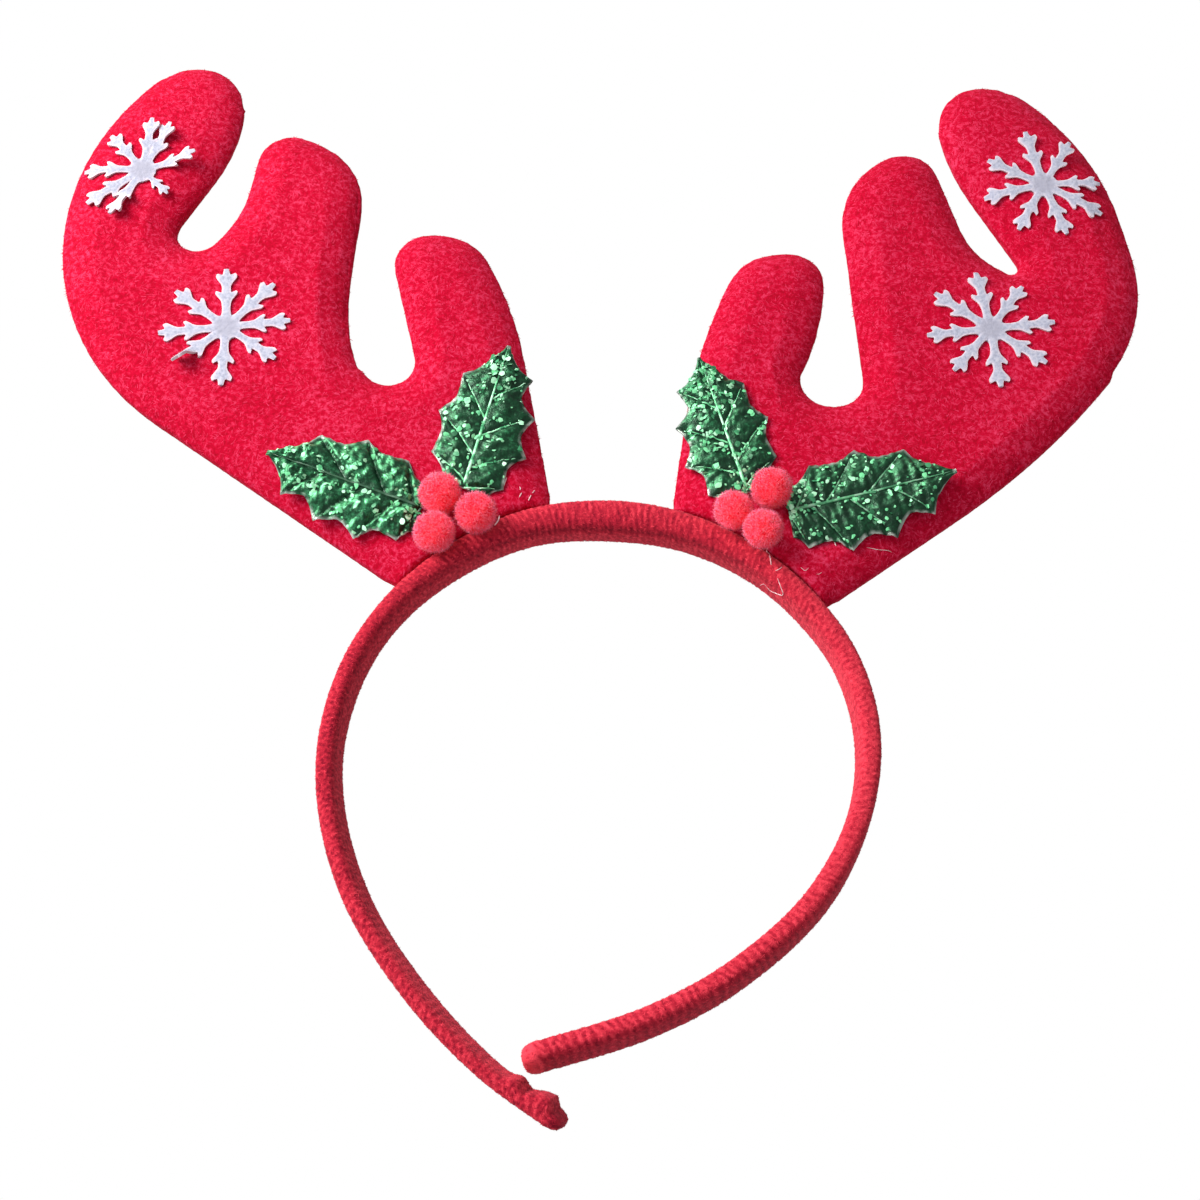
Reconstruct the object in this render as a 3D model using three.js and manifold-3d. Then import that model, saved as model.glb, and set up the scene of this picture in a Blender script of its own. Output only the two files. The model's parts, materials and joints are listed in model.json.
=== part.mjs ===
// A reindeer antler headband, lying on its back.
//
// A plush-wrapped hoop carries two stuffed felt antlers on its outer face. Each antler is trimmed with two
// felt snowflakes, two embossed holly leaves and a cluster of three pompom berries.
//
// Millimetres, +Z up. The hoop and the antlers lie flat on the surface at z = 0. In the layout plane X runs
// across the hoop and Y runs from the hoop's ends to the antler tips. LAYOUT_CENTRE moves the middle of the
// whole footprint to the origin.

import * as THREE from 'three';
import { mergeVertices } from 'three/addons/utils/BufferGeometryUtils.js';
import Module from 'manifold-3d';

const wasm = await Module();
wasm.setup();

// Driving dimensions

const LAYOUT_CENTRE = { x: -0.53, y: 12.86 };
const SEAT_GAP = 0.3; // clearance between pieces that touch

const BAND = {
  corner: 2.2, // round of the cloth over the band's edges
  roundest: 0.96, // most of the half thickness that the round takes up
  step: 7, // spacing of the cross-sections
  foldStep: 1.5, // spacing of the cross-sections along the crumpled end
  foldRun: 18, // length of the crumpled end
};

const ANTLER = {
  thickness: 9,
  edgeRound: 5.6, // how far the padded edge runs in over the face
  edgeSteps: 3,
  sampling: 5.2, // spacing of points along the outline's bends
  turnStep: 0.4, // most that a bend turns between two points, in radians
  mostTurn: 1.9 * Math.PI, // a bend that would turn further than this doesn't turn at all
};

// Space that the hoop and its inside take out of an antler's foot, from one share of the hoop to another
const FOOT_CUT = { from: 0.28, to: 0.76, steps: 48, inwards: 24, depth: 20, below: 4 };

const FLAKE = {
  thickness: 1.2,
  hub: 3.5, // radius that stays flat when an arm is bent
};

const LEAF = {
  length: 38.8,
  thickness: 1.1,
  puff: 0.9, // rise of the panels between the veins
  groove: 0.25, // rise along a vein
  crest: 0.4, // share of the way from midrib to edge where a panel is highest
  shoulder: 0.8, // share of the way out where a panel falls to the edge
  edge: 0.35, // height of the cut edge, as a share of the thickness
  rib: 0.9, // height of the midrib, as a share of the thickness
  foot: 0.6, // share of the way out where the underside leaves the felt
  taper: 6, // half width below which the panels flatten
};

const BERRY = {
  head: 3.7,
  root: 0.6, // where the locks start, as a share of the head
  locks: 30,
  lockWidth: 1.25,
  lockSides: 5,
};

const FACE_Z = ANTLER.thickness + SEAT_GAP; // where flat trim lies on an antler

// Centreline of the hoop, from the tip of its left end over the crown to the tip of its right end
const HOOP_ROUTE = [
  { x: -7.6, y: -124.5 },
  { x: -24.4, y: -111.8 },
  { x: -39.8, y: -95.1 },
  { x: -53.0, y: -74.4 },
  { x: -59.7, y: -53.1 },
  { x: -60.4, y: -34.9 },
  { x: -55.4, y: -15.9 },
  { x: -45.7, y: -0.6 },
  { x: -32.0, y: 11.1 },
  { x: -16.6, y: 18.6 },
  { x: 0.0, y: 20.6 },
  { x: 17.9, y: 18.1 },
  { x: 33.1, y: 10.9 },
  { x: 45.5, y: 0.2 },
  { x: 56.0, y: -15.8 },
  { x: 60.3, y: -34.9 },
  { x: 57.6, y: -54.6 },
  { x: 47.4, y: -74.4 },
  { x: 28.8, y: -91.7 },
  { x: 10.1, y: -102.0 },
  { x: -16.6, y: -110.6 },
];

// Section of the band along the hoop: share of the way from the left tip to the right tip, inner face to outer
// face, back edge to front edge, and degrees that the front edge leans outwards. The left leg is twisted.
const BAND_FORM = [
  { share: 0.0, thickness: 3.3, width: 8.6, lean: 33 },
  { share: 0.1, thickness: 3.8, width: 9.0, lean: 32 },
  { share: 0.18, thickness: 4.5, width: 9.2, lean: 23.5 },
  { share: 0.26, thickness: 4.5, width: 9.5, lean: 13 },
  { share: 0.34, thickness: 4.6, width: 9.6, lean: 8 },
  { share: 0.42, thickness: 6.5, width: 9.7, lean: 1 },
  { share: 0.5, thickness: 8.4, width: 9.8, lean: -3 },
  { share: 0.58, thickness: 6.4, width: 9.7, lean: 0 },
  { share: 0.66, thickness: 5.3, width: 9.6, lean: 6 },
  { share: 0.72, thickness: 5.0, width: 9.5, lean: 8.5 },
  { share: 0.8, thickness: 5.4, width: 9.3, lean: -2 },
  { share: 0.86, thickness: 5.0, width: 9.1, lean: -7.5 },
  { share: 1.0, thickness: 5.2, width: 8.6, lean: -8 },
];

// Folds of cloth gathered at the left end: distance from the tip, and how far the inner side stands out
const LEFT_END_FOLDS = [
  { along: 0.0, out: 0.2 },
  { along: 3.2, out: 0.7 },
  { along: 5.0, out: 2.6 },
  { along: 7.2, out: 2.0 },
  { along: 10.4, out: 0.1 },
  { along: 13.4, out: 1.4 },
  { along: 16.6, out: 0.1 },
  { along: 19.0, out: 0.0 },
];

// How the band's section grows from its rounded tips: distance from the tip, and share of the full section
const TIP_ROUND = [
  { along: 0.0, share: 0.42 },
  { along: 0.5, share: 0.72 },
  { along: 1.4, share: 0.91 },
  { along: 2.8, share: 1.0 },
];

// Antler outlines as a run of round bends, clockwise, joined by straight stretches. A radius above 0 is a
// bend of the felt, one below 0 is a notch, and 0 is a corner hidden against the hoop.
const ANTLER_LEFT = [
  { bend: 'outer foot', x: -35.6, y: -5.8, radius: 0 },
  { bend: 'outer side', x: -66.4, y: 100.4, radius: 66.2 },
  { bend: 'outer tip', x: -103.0, y: 139.7, radius: 12 },
  { bend: 'outer prong inside', x: -138.7, y: 140.8, radius: 48.2 },
  { bend: 'first notch', x: -99.3, y: 101.3, radius: -5.4 },
  { bend: 'middle prong flank', x: -117.0, y: 118.9, radius: -30.2 },
  { bend: 'middle tip, outer', x: -77.3, y: 122.1, radius: 8.3 },
  { bend: 'middle tip, inner', x: -79.0, y: 110.1, radius: 19.8 },
  { bend: 'middle prong waist', x: -4.0, y: 81.1, radius: -57.6 },
  { bend: 'second notch', x: -51.1, y: 63.9, radius: -6.4 },
  { bend: 'inner tip, outer', x: -41.4, y: 92.0, radius: 8.8 },
  { bend: 'inner tip, inner', x: -39.0, y: 87.8, radius: 12.4 },
  { bend: 'inner side', x: -116.4, y: 48.0, radius: 99.4 },
  { bend: 'inner foot', x: -9.5, y: 12.1, radius: 0 },
];

const ANTLER_RIGHT = [
  { bend: 'inner foot', x: 15.7, y: 12.4, radius: 0 },
  { bend: 'inner side', x: 166.9, y: 26.4, radius: 148 },
  { bend: 'inner tip, inner', x: 43.2, y: 82.7, radius: 12 },
  { bend: 'inner tip, outer', x: 46.2, y: 86.8, radius: 8.2 },
  { bend: 'inner prong flank', x: -11.7, y: 88.5, radius: 66.3 },
  { bend: 'second notch', x: 55.9, y: 59.2, radius: -7.7 },
  { bend: 'middle tip, inner', x: 82.5, y: 104.0, radius: 22.4 },
  { bend: 'middle tip, outer', x: 76.1, y: 116.6, radius: 8.2 },
  { bend: 'middle prong flank', x: 107.2, y: 106.9, radius: -18.7 },
  { bend: 'first notch', x: 101.0, y: 91.0, radius: -2 },
  { bend: 'outer prong inside', x: 148.9, y: 140.8, radius: 63.5 },
  { bend: 'outer tip', x: 97.8, y: 134.0, radius: 11.7 },
  { bend: 'outer side, high', x: 64.6, y: 92.6, radius: 65.4 },
  { bend: 'outer side, low', x: 90.0, y: 86.4, radius: 41.6 },
  { bend: 'outer foot edge', x: -37.5, y: 183.8, radius: 203 },
  { bend: 'outer foot', x: 45.8, y: -7.1, radius: 0 },
];

// Half of one snowflake arm, from the valley beside it to its tip: shares of the reach
const FLAKE_ARM = [
  { point: 'valley', along: 0.205, out: 0.085 },
  { point: 'neck', along: 0.33, out: 0.06 },
  { point: 'barb root', along: 0.45, out: 0.075 },
  { point: 'barb back', along: 0.59, out: 0.172 },
  { point: 'barb tip', along: 0.625, out: 0.15 },
  { point: 'barb front', along: 0.57, out: 0.058 },
  { point: 'shaft', along: 0.72, out: 0.056 },
  { point: 'lobe back', along: 0.875, out: 0.155 },
  { point: 'lobe tip', along: 0.925, out: 0.128 },
  { point: 'lobe notch', along: 0.885, out: 0.05 },
  { point: 'crown', along: 1.0, out: 0.028 },
];

// Snowflakes: hub, and each arm's heading in degrees, reach and how far its tip stands up
const FLAKES = [
  {
    name: 'flake_left_high', x: -113.8, y: 117.4,
    arms: [
      { heading: 18, reach: 12.8, lift: 3.0 },
      { heading: 67, reach: 13.6, lift: 2.2 },
      { heading: 87, reach: 13.2, lift: 0.8 },
      { heading: 132, reach: 13.5, lift: 0 },
      { heading: 181, reach: 14.4, lift: 0 },
      { heading: 217, reach: 16.2, lift: 0.4 },
      { heading: 245, reach: 14.9, lift: 0.8 },
      { heading: 313, reach: 8.0, lift: 1.6 },
    ],
  },
  {
    name: 'flake_left_low', x: -90.2, y: 71.3,
    arms: [
      { heading: 7, reach: 15.5, lift: 0 },
      { heading: 46, reach: 16.0, lift: 0 },
      { heading: 93, reach: 16.4, lift: 0 },
      { heading: 143, reach: 16.0, lift: 0 },
      { heading: 186, reach: 16.4, lift: 0 },
      { heading: 223, reach: 15.6, lift: 0.8 },
      { heading: 271, reach: 16.4, lift: 0 },
      { heading: 324, reach: 14.7, lift: 0 },
    ],
  },
  {
    name: 'flake_right_high', x: 110.0, y: 113.0,
    arms: [
      { heading: 4, reach: 13.8, lift: 0 },
      { heading: 58, reach: 13.6, lift: 0 },
      { heading: 103, reach: 16.0, lift: 0 },
      { heading: 152, reach: 15.2, lift: 0 },
      { heading: 193, reach: 15.2, lift: 0 },
      { heading: 241, reach: 14.4, lift: 0 },
      { heading: 286, reach: 15.4, lift: 0 },
      { heading: 329, reach: 16.0, lift: 0 },
    ],
  },
  {
    name: 'flake_right_low', x: 94.0, y: 70.8,
    arms: [
      { heading: 7, reach: 15.7, lift: 0 },
      { heading: 57, reach: 14.4, lift: 0 },
      { heading: 99, reach: 16.4, lift: 0 },
      { heading: 142, reach: 16.4, lift: 0 },
      { heading: 187, reach: 15.5, lift: 0 },
      { heading: 231, reach: 15.1, lift: 0 },
      { heading: 275, reach: 16.4, lift: 0 },
      { heading: 323, reach: 16.0, lift: 0 },
    ],
  },
];

// Rows across a holly leaf, from base to tip. Spines and hollows alternate along the two sides: along and
// out place the edge on the broad and the narrow side, rib is where the row crosses the midrib, and vein
// names the side whose vein runs along the row.
const LEAF_ROWS = [
  { rib: -0.8, broadAlong: -1.2, broadOut: 6.6, narrowAlong: -0.6, narrowOut: 3.8, vein: 'none' },
  { rib: 1.0, broadAlong: 1.4, broadOut: 10.2, narrowAlong: 1.4, narrowOut: 5.6, vein: 'none' },
  { rib: 4.6, broadAlong: 6.2, broadOut: 9.6, narrowAlong: 6.8, narrowOut: 10.0, vein: 'narrow' },
  { rib: 7.8, broadAlong: 10.6, broadOut: 13.4, narrowAlong: 12.2, narrowOut: 9.2, vein: 'broad' },
  { rib: 13.0, broadAlong: 15.7, broadOut: 10.4, narrowAlong: 17.6, narrowOut: 11.4, vein: 'narrow' },
  { rib: 17.4, broadAlong: 21.0, broadOut: 12.4, narrowAlong: 22.4, narrowOut: 8.2, vein: 'broad' },
  { rib: 22.6, broadAlong: 25.4, broadOut: 7.4, narrowAlong: 28.2, narrowOut: 8.6, vein: 'narrow' },
  { rib: 27.4, broadAlong: 30.4, broadOut: 8.9, narrowAlong: 30.9, narrowOut: 4.8, vein: 'broad' },
  { rib: 31.4, broadAlong: 32.5, broadOut: 4.5, narrowAlong: 33.4, narrowOut: 3.3, vein: 'none' },
  { rib: 37.4, broadAlong: 37.4, broadOut: 0.6, narrowAlong: 37.4, narrowOut: 0.6, vein: 'none' },
];

// Leaves: base, heading of the midrib in degrees, length and spread as shares of the rows above, side of the
// broad half seen from above with the tip ahead, and how far the tip stands up
const LEAVES = [
  { name: 'leaf_upper_left', x: -31.8, y: 27.2, heading: 76, long: 1.01, spread: 0.9, broad: -1, lift: 1.6 },
  { name: 'leaf_lower_left', x: -42.3, y: 21.4, heading: 158.5, long: 1, spread: 0.97, broad: 1, lift: 1.2 },
  { name: 'leaf_upper_right', x: 34.3, y: 25.9, heading: 106, long: 0.95, spread: 0.88, broad: 1, lift: 1.6 },
  { name: 'leaf_lower_right', x: 44.6, y: 20.4, heading: 13.4, long: 1.03, spread: 1, broad: -1, lift: 3.2 },
];

// Pompom berries: centre and radius over the tips of the locks
const BERRIES = [
  { name: 'berry_left_top', x: -37.1, y: 22.7, z: 14.2, radius: 4.7 },
  { name: 'berry_left_inner', x: -28.75, y: 18.0, z: 13.7, radius: 4.6 },
  { name: 'berry_left_low', x: -38.25, y: 12.85, z: 13.7, radius: 4.6 },
  { name: 'berry_right_top', x: 39.9, y: 24.3, z: 14.1, radius: 4.6 },
  { name: 'berry_right_inner', x: 30.95, y: 18.75, z: 13.5, radius: 4.3 },
  { name: 'berry_right_low', x: 37.55, y: 13.2, z: 14.6, radius: 4.3 },
];

const COLOURS = {
  band: { color: 0xd23a4c, roughness: 0.95 },
  felt: { color: 0xdc1738, roughness: 1.0 },
  leaf: { color: 0x1b6a40, roughness: 0.45 },
  berry: { color: 0xff4654, roughness: 1.0 },
  flake: { color: 0xe6e8f4, roughness: 0.95 },
};

// Solids

// Turns a closed geometry into a solid that can be joined and cut.
function toSolid(geometry) {
  const bare = geometry.clone();
  bare.deleteAttribute('normal');
  bare.deleteAttribute('uv');
  const merged = mergeVertices(bare, 1e-4);
  return new wasm.Manifold(new wasm.Mesh({
    numProp: 3,
    vertProperties: new Float32Array(merged.attributes.position.array),
    triVerts: new Uint32Array(merged.index.array),
  }));
}

// Turns a solid back into a geometry.
function toGeometry(solid) {
  const mesh = solid.getMesh();
  const geometry = new THREE.BufferGeometry();
  geometry.setAttribute('position', new THREE.BufferAttribute(new Float32Array(mesh.vertProperties), 3));
  geometry.setIndex(new THREE.BufferAttribute(new Uint32Array(mesh.triVerts), 1));
  geometry.computeVertexNormals();
  return geometry;
}

// Triangles between the rings of a row. Each ring is counter-clockwise seen against the way the row runs.
function skin(rings) {
  const sides = rings[0].length;
  const triangles = [];
  for (let row = 0; row + 1 < rings.length; row += 1) {
    for (let side = 0; side < sides; side += 1) {
      const a = row * sides + side;
      const b = row * sides + ((side + 1) % sides);
      triangles.push(a, b, b + sides, a, b + sides, a + sides);
    }
  }
  return triangles;
}

function meshOf(vertices, triangles) {
  const geometry = new THREE.BufferGeometry().setFromPoints(vertices);
  geometry.setIndex(triangles);
  geometry.computeVertexNormals();
  return geometry;
}

// Skins a row of rings and closes both ends with a fan round the ring's middle.
function loft(rings) {
  const sides = rings[0].length;
  const middle = (ring) => ring
    .reduce((sum, point) => sum.add(point), new THREE.Vector3())
    .divideScalar(sides);
  const vertices = [...rings.flat(), middle(rings[0]), middle(rings[rings.length - 1])];
  const triangles = skin(rings);
  const firstMiddle = vertices.length - 2;
  const lastMiddle = vertices.length - 1;
  const lastRow = (rings.length - 1) * sides;
  for (let side = 0; side < sides; side += 1) {
    const next = (side + 1) % sides;
    triangles.push(firstMiddle, next, side);
    triangles.push(lastMiddle, lastRow + side, lastRow + next);
  }
  return meshOf(vertices, triangles);
}

// Reads a column of a table at a place between its rows.
function readTable(table, key, value, at) {
  if (at <= table[0][key]) return table[0][value];
  for (let row = 1; row < table.length; row += 1) {
    const low = table[row - 1];
    const high = table[row];
    if (at <= high[key]) {
      const share = (at - low[key]) / (high[key] - low[key]);
      return THREE.MathUtils.lerp(low[value], high[value], share);
    }
  }
  return table[table.length - 1][value];
}

// Hoop band

const hoopCurve = new THREE.CatmullRomCurve3(
  HOOP_ROUTE.map((stop) => new THREE.Vector3(stop.x, stop.y, 0)),
  false,
  'centripetal',
);
hoopCurve.arcLengthDivisions = 800;
const HOOP_LENGTH = hoopCurve.getLength();

// Point of the centreline and the direction out of the hoop, at a distance from the left tip.
function hoopStation(along) {
  const share = THREE.MathUtils.clamp(along / HOOP_LENGTH, 0, 1);
  const centre = hoopCurve.getPointAt(share);
  const ahead = hoopCurve.getTangentAt(share);
  return { centre, outward: new THREE.Vector3(-ahead.y, ahead.x, 0) };
}

// Distances from the left tip at which the band's sections stand.
function bandStations() {
  const tips = TIP_ROUND.map((row) => row.along);
  const stations = [...tips];
  const tipEnd = tips[tips.length - 1];
  for (let along = tipEnd + BAND.foldStep; along < BAND.foldRun; along += BAND.foldStep) {
    stations.push(along);
  }
  const rightStart = HOOP_LENGTH - tipEnd;
  const plain = Math.round((rightStart - BAND.foldRun) / BAND.step);
  for (let step = 0; step < plain; step += 1) {
    stations.push(THREE.MathUtils.lerp(BAND.foldRun, rightStart, step / plain));
  }
  return [...stations, ...tips.map((along) => HOOP_LENGTH - along).reverse()];
}

// The band's half thickness, width, lean in radians and corner at a distance from the left tip.
function bandForm(along) {
  const share = along / HOOP_LENGTH;
  const half = readTable(BAND_FORM, 'share', 'thickness', share) / 2;
  return {
    half,
    width: readTable(BAND_FORM, 'share', 'width', share),
    lean: THREE.MathUtils.degToRad(readTable(BAND_FORM, 'share', 'lean', share)),
    corner: Math.min(BAND.corner, BAND.roundest * half),
  };
}

// How far the leaning band reaches out from its centreline.
function bandReach(along) {
  const { half, width, lean, corner } = bandForm(along);
  return (half - corner) * Math.cos(lean) + (width / 2 - corner) * Math.abs(Math.sin(lean)) + corner;
}

// Rounded rectangle across the band as pairs of distance outwards and height above its middle. The fold makes
// its inner side stand out.
function bandSection({ half, width, corner: round }, fold) {
  const low = -width / 2 + round;
  const high = width / 2 - round;
  const corners = [
    { u: half - round, w: low, start: -90 },
    { u: half - round, w: high, start: 0 },
    { u: -half - fold + round, w: high, start: 90 },
    { u: -half - fold + round, w: low, start: 180 },
  ];
  const points = [];
  for (const corner of corners) {
    for (const turn of [0, 45, 90]) {
      const angle = THREE.MathUtils.degToRad(corner.start + turn);
      points.push(new THREE.Vector2(
        corner.u + round * Math.cos(angle),
        corner.w + round * Math.sin(angle),
      ));
    }
  }
  return points;
}

function bandRing(along) {
  const { centre, outward } = hoopStation(along);
  const form = bandForm(along);
  const fold = readTable(LEFT_END_FOLDS, 'along', 'out', along);
  const share = readTable(TIP_ROUND, 'along', 'share', Math.min(along, HOOP_LENGTH - along));
  const section = bandSection(form, fold)
    .map((point) => point.rotateAround(new THREE.Vector2(), -form.lean));
  const lowest = Math.min(...section.map((point) => point.y));
  return section.map((point) => centre.clone()
    .addScaledVector(outward, point.x * share)
    .setZ(point.y * share - lowest));
}

// Antlers

// Leaving and arriving points of the straight stretch between two bends of an outline.
function straightBetween(from, to) {
  const gap = new THREE.Vector2(to.x - from.x, to.y - from.y);
  const side = Math.acos(THREE.MathUtils.clamp((from.radius - to.radius) / gap.length(), -1, 1));
  const normal = gap.normalize().rotateAround(new THREE.Vector2(), side);
  return {
    normal,
    leave: new THREE.Vector2(from.x, from.y).addScaledVector(normal, from.radius),
    arrive: new THREE.Vector2(to.x, to.y).addScaledVector(normal, to.radius),
  };
}

// Angle from one point to another about a bend's centre: clockwise round the felt, the other way in a notch.
function sweepRound(bend, start, end) {
  const from = Math.atan2(start.y - bend.y, start.x - bend.x);
  const to = Math.atan2(end.y - bend.y, end.x - bend.x);
  const way = Math.sign(bend.radius);
  const turn = THREE.MathUtils.euclideanModulo((from - to) * way, 2 * Math.PI);
  return { from, turn: turn < ANTLER.mostTurn ? -way * turn : 0 };
}

// Outline of an antler as points along its bends, each with the direction out of the felt. The straight
// stretches need no points of their own.
function antlerOutline(bends) {
  const straights = bends.slice(1).map((bend, index) => straightBetween(bends[index], bend));
  const outline = [{ point: straights[0].leave, normal: straights[0].normal }];
  straights.forEach(({ normal, arrive }, index) => {
    outline.push({ point: arrive, normal });
    const next = straights[index + 1];
    if (!next) return;
    const bend = bends[index + 1];
    const { from, turn } = sweepRound(bend, arrive, next.leave);
    const span = Math.abs(turn);
    const length = Math.abs(bend.radius) * span;
    const arcs = Math.ceil(Math.max(length / ANTLER.sampling, span / ANTLER.turnStep));
    for (let arc = 1; arc <= arcs; arc += 1) {
      const angle = from + (turn * arc) / arcs;
      const radial = new THREE.Vector2(Math.cos(angle), Math.sin(angle));
      const point = new THREE.Vector2(bend.x, bend.y).addScaledVector(radial, Math.abs(bend.radius));
      outline.push({ point, normal: radial.multiplyScalar(Math.sign(bend.radius)) });
    }
  });
  return outline;
}

// Block that clears the hoop and its inside out of an antler's foot.
function hoopClearance() {
  const { from, to, steps, inwards, depth, below } = FOOT_CUT;
  const outside = [];
  const inside = [];
  for (let step = 0; step <= steps; step += 1) {
    const along = THREE.MathUtils.lerp(from, to, step / steps) * HOOP_LENGTH;
    const { centre, outward } = hoopStation(along);
    outside.push(centre.clone().addScaledVector(outward, bandReach(along) + SEAT_GAP));
    inside.unshift(centre.clone().addScaledVector(outward, -inwards));
  }
  const outline = [...outside, ...inside].map((point) => new THREE.Vector2(point.x, point.y));
  const block = new THREE.ExtrudeGeometry(new THREE.Shape(outline), { depth, bevelEnabled: false });
  return toSolid(block.translate(0, 0, -below));
}

const footCut = hoopClearance();

// Rings of the padded edge from the back of the felt to its front: each is the outline set in along a quarter
// of an ellipse.
function paddedRings(outline) {
  const half = ANTLER.thickness / 2;
  const rings = [];
  for (let step = -ANTLER.edgeSteps; step <= ANTLER.edgeSteps; step += 1) {
    const angle = (step / ANTLER.edgeSteps) * (Math.PI / 2);
    const inset = ANTLER.edgeRound * (1 - Math.cos(angle));
    const height = half + half * Math.sin(angle);
    rings.push(outline.map(({ point, normal }) => new THREE.Vector3(
      point.x - inset * normal.x,
      point.y - inset * normal.y,
      height,
    )));
  }
  return rings;
}

function antlerGeometry(bends) {
  const rings = paddedRings(antlerOutline(bends).reverse());
  const triangles = skin(rings);
  const face = rings[0].map((point) => new THREE.Vector2(point.x, point.y));
  const front = (rings.length - 1) * face.length;
  for (const [a, b, c] of THREE.ShapeUtils.triangulateShape(face, [])) {
    triangles.push(c, b, a);
    triangles.push(front + a, front + b, front + c);
  }
  return toGeometry(toSolid(meshOf(rings.flat(), triangles)).subtract(footCut));
}

// Snowflakes

// Outline of one arm along +X, from the valley on its right to just short of the valley on its left.
function flakeArm(reach) {
  const right = FLAKE_ARM.map((row) => new THREE.Vector2(row.along, -row.out));
  const left = FLAKE_ARM.slice(1).reverse().map((row) => new THREE.Vector2(row.along, row.out));
  return [...right, ...left].map((point) => point.multiplyScalar(reach));
}

function flakeGeometry(arms) {
  const outline = [];
  const lifts = [];
  for (const { heading, reach, lift } of arms) {
    for (const point of flakeArm(reach)) {
      const out = THREE.MathUtils.smoothstep(point.length(), FLAKE.hub, reach);
      outline.push(point.clone().rotateAround(new THREE.Vector2(), THREE.MathUtils.degToRad(heading)));
      lifts.push(lift * out * out);
    }
  }
  const geometry = new THREE.ExtrudeGeometry(new THREE.Shape(outline), {
    depth: FLAKE.thickness,
    bevelEnabled: false,
  });
  const position = geometry.attributes.position;
  for (let index = 0; index < position.count; index += 1) {
    const here = new THREE.Vector2(position.getX(index), position.getY(index));
    const nearest = outline.findIndex((point) => point.distanceTo(here) < 1e-3);
    position.setZ(index, position.getZ(index) + lifts[nearest]);
  }
  return toGeometry(toSolid(geometry));
}

// Holly leaves

// Ring round one row of a leaf: the puffed top from the broad edge over the midrib to the narrow edge, then
// back along the flat underside.
function leafRing(row, leaf) {
  const level = leaf.lift * (Math.max(row.rib, 0) / LEAF.length) ** 2;
  const taper = Math.min(1, row.broadOut / LEAF.taper);
  const crest = (side) => LEAF.thickness + taper * (row.vein === side ? LEAF.groove : LEAF.puff);
  const at = (along, out, share, height) => new THREE.Vector3(
    THREE.MathUtils.lerp(row.rib, along, share) * leaf.long,
    leaf.broad * out * share * leaf.spread,
    height + level,
  );
  const broad = (share, height) => at(row.broadAlong, row.broadOut, share, height);
  const narrow = (share, height) => at(row.narrowAlong, -row.narrowOut, share, height);
  const ring = [
    broad(1, LEAF.edge * LEAF.thickness),
    broad(LEAF.shoulder, LEAF.shoulder * crest('broad')),
    broad(LEAF.crest, crest('broad')),
    broad(0, LEAF.rib * LEAF.thickness),
    narrow(LEAF.crest, crest('narrow')),
    narrow(LEAF.shoulder, LEAF.shoulder * crest('narrow')),
    narrow(1, LEAF.edge * LEAF.thickness),
    narrow(LEAF.foot, 0),
    broad(LEAF.foot, 0),
  ];
  return leaf.broad < 0 ? ring.reverse() : ring;
}

function leafGeometry(leaf) {
  return toGeometry(toSolid(loft(LEAF_ROWS.map((row) => leafRing(row, leaf)))));
}

// Pompom berries

// Even spread of directions over a ball, one for each lock of yarn.
function lockDirections() {
  const golden = Math.PI * (3 - Math.sqrt(5));
  return Array.from({ length: BERRY.locks }, (_, lock) => {
    const height = 1 - (2 * lock + 1) / BERRY.locks;
    const ring = Math.sqrt(1 - height * height);
    return new THREE.Vector3(ring * Math.cos(golden * lock), ring * Math.sin(golden * lock), height);
  });
}

function berryGeometry(radius) {
  const root = BERRY.root * BERRY.head;
  const up = new THREE.Vector3(0, 1, 0);
  const locks = lockDirections().map((direction) => {
    const lock = new THREE.ConeGeometry(BERRY.lockWidth, radius - root, BERRY.lockSides);
    lock.translate(0, (radius + root) / 2, 0);
    return lock.applyQuaternion(new THREE.Quaternion().setFromUnitVectors(up, direction));
  });
  const head = toSolid(new THREE.IcosahedronGeometry(BERRY.head, 1));
  return toGeometry(locks.reduce((berry, lock) => berry.add(toSolid(lock)), head));
}

// Assembly

function piece(name, geometry, finish, place = {}) {
  const material = new THREE.MeshStandardMaterial({ ...COLOURS[finish], metalness: 0 });
  const mesh = new THREE.Mesh(geometry, material);
  mesh.name = name;
  mesh.position.set(place.x ?? 0, place.y ?? 0, place.z ?? 0);
  mesh.rotation.z = THREE.MathUtils.degToRad(place.heading ?? 0);
  return mesh;
}

const headband = new THREE.Group();
headband.position.set(-LAYOUT_CENTRE.x, -LAYOUT_CENTRE.y, 0);

headband.add(piece('hoop_band', loft(bandStations().map(bandRing)), 'band'));
headband.add(piece('antler_left', antlerGeometry(ANTLER_LEFT), 'felt'));
headband.add(piece('antler_right', antlerGeometry(ANTLER_RIGHT), 'felt'));
for (const flake of FLAKES) {
  headband.add(piece(flake.name, flakeGeometry(flake.arms), 'flake', { x: flake.x, y: flake.y, z: FACE_Z }));
}
for (const leaf of LEAVES) {
  headband.add(piece(leaf.name, leafGeometry(leaf), 'leaf', { ...leaf, z: FACE_Z }));
}
for (const berry of BERRIES) {
  headband.add(piece(berry.name, berryGeometry(berry.radius), 'berry', berry));
}

export default headband;
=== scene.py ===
"""A reindeer antler headband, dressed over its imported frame.

The hoop is wrapped in ribbed plush, the antlers are stuffed felt with a short nap, and the trim is embossed
glitter cloth, yarn pompoms and cut felt snowflakes. Sizes in the tables are millimetres in the headband's
layout plane, and every mesh is in metres in the part's own frame.
"""

from __future__ import annotations

import json
import logging
import math
from dataclasses import dataclass
from enum import Enum
from typing import Sequence

import bpy
import numpy as np
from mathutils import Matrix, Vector
from mathutils.bvhtree import BVHTree
from mathutils.kdtree import KDTree

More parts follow.
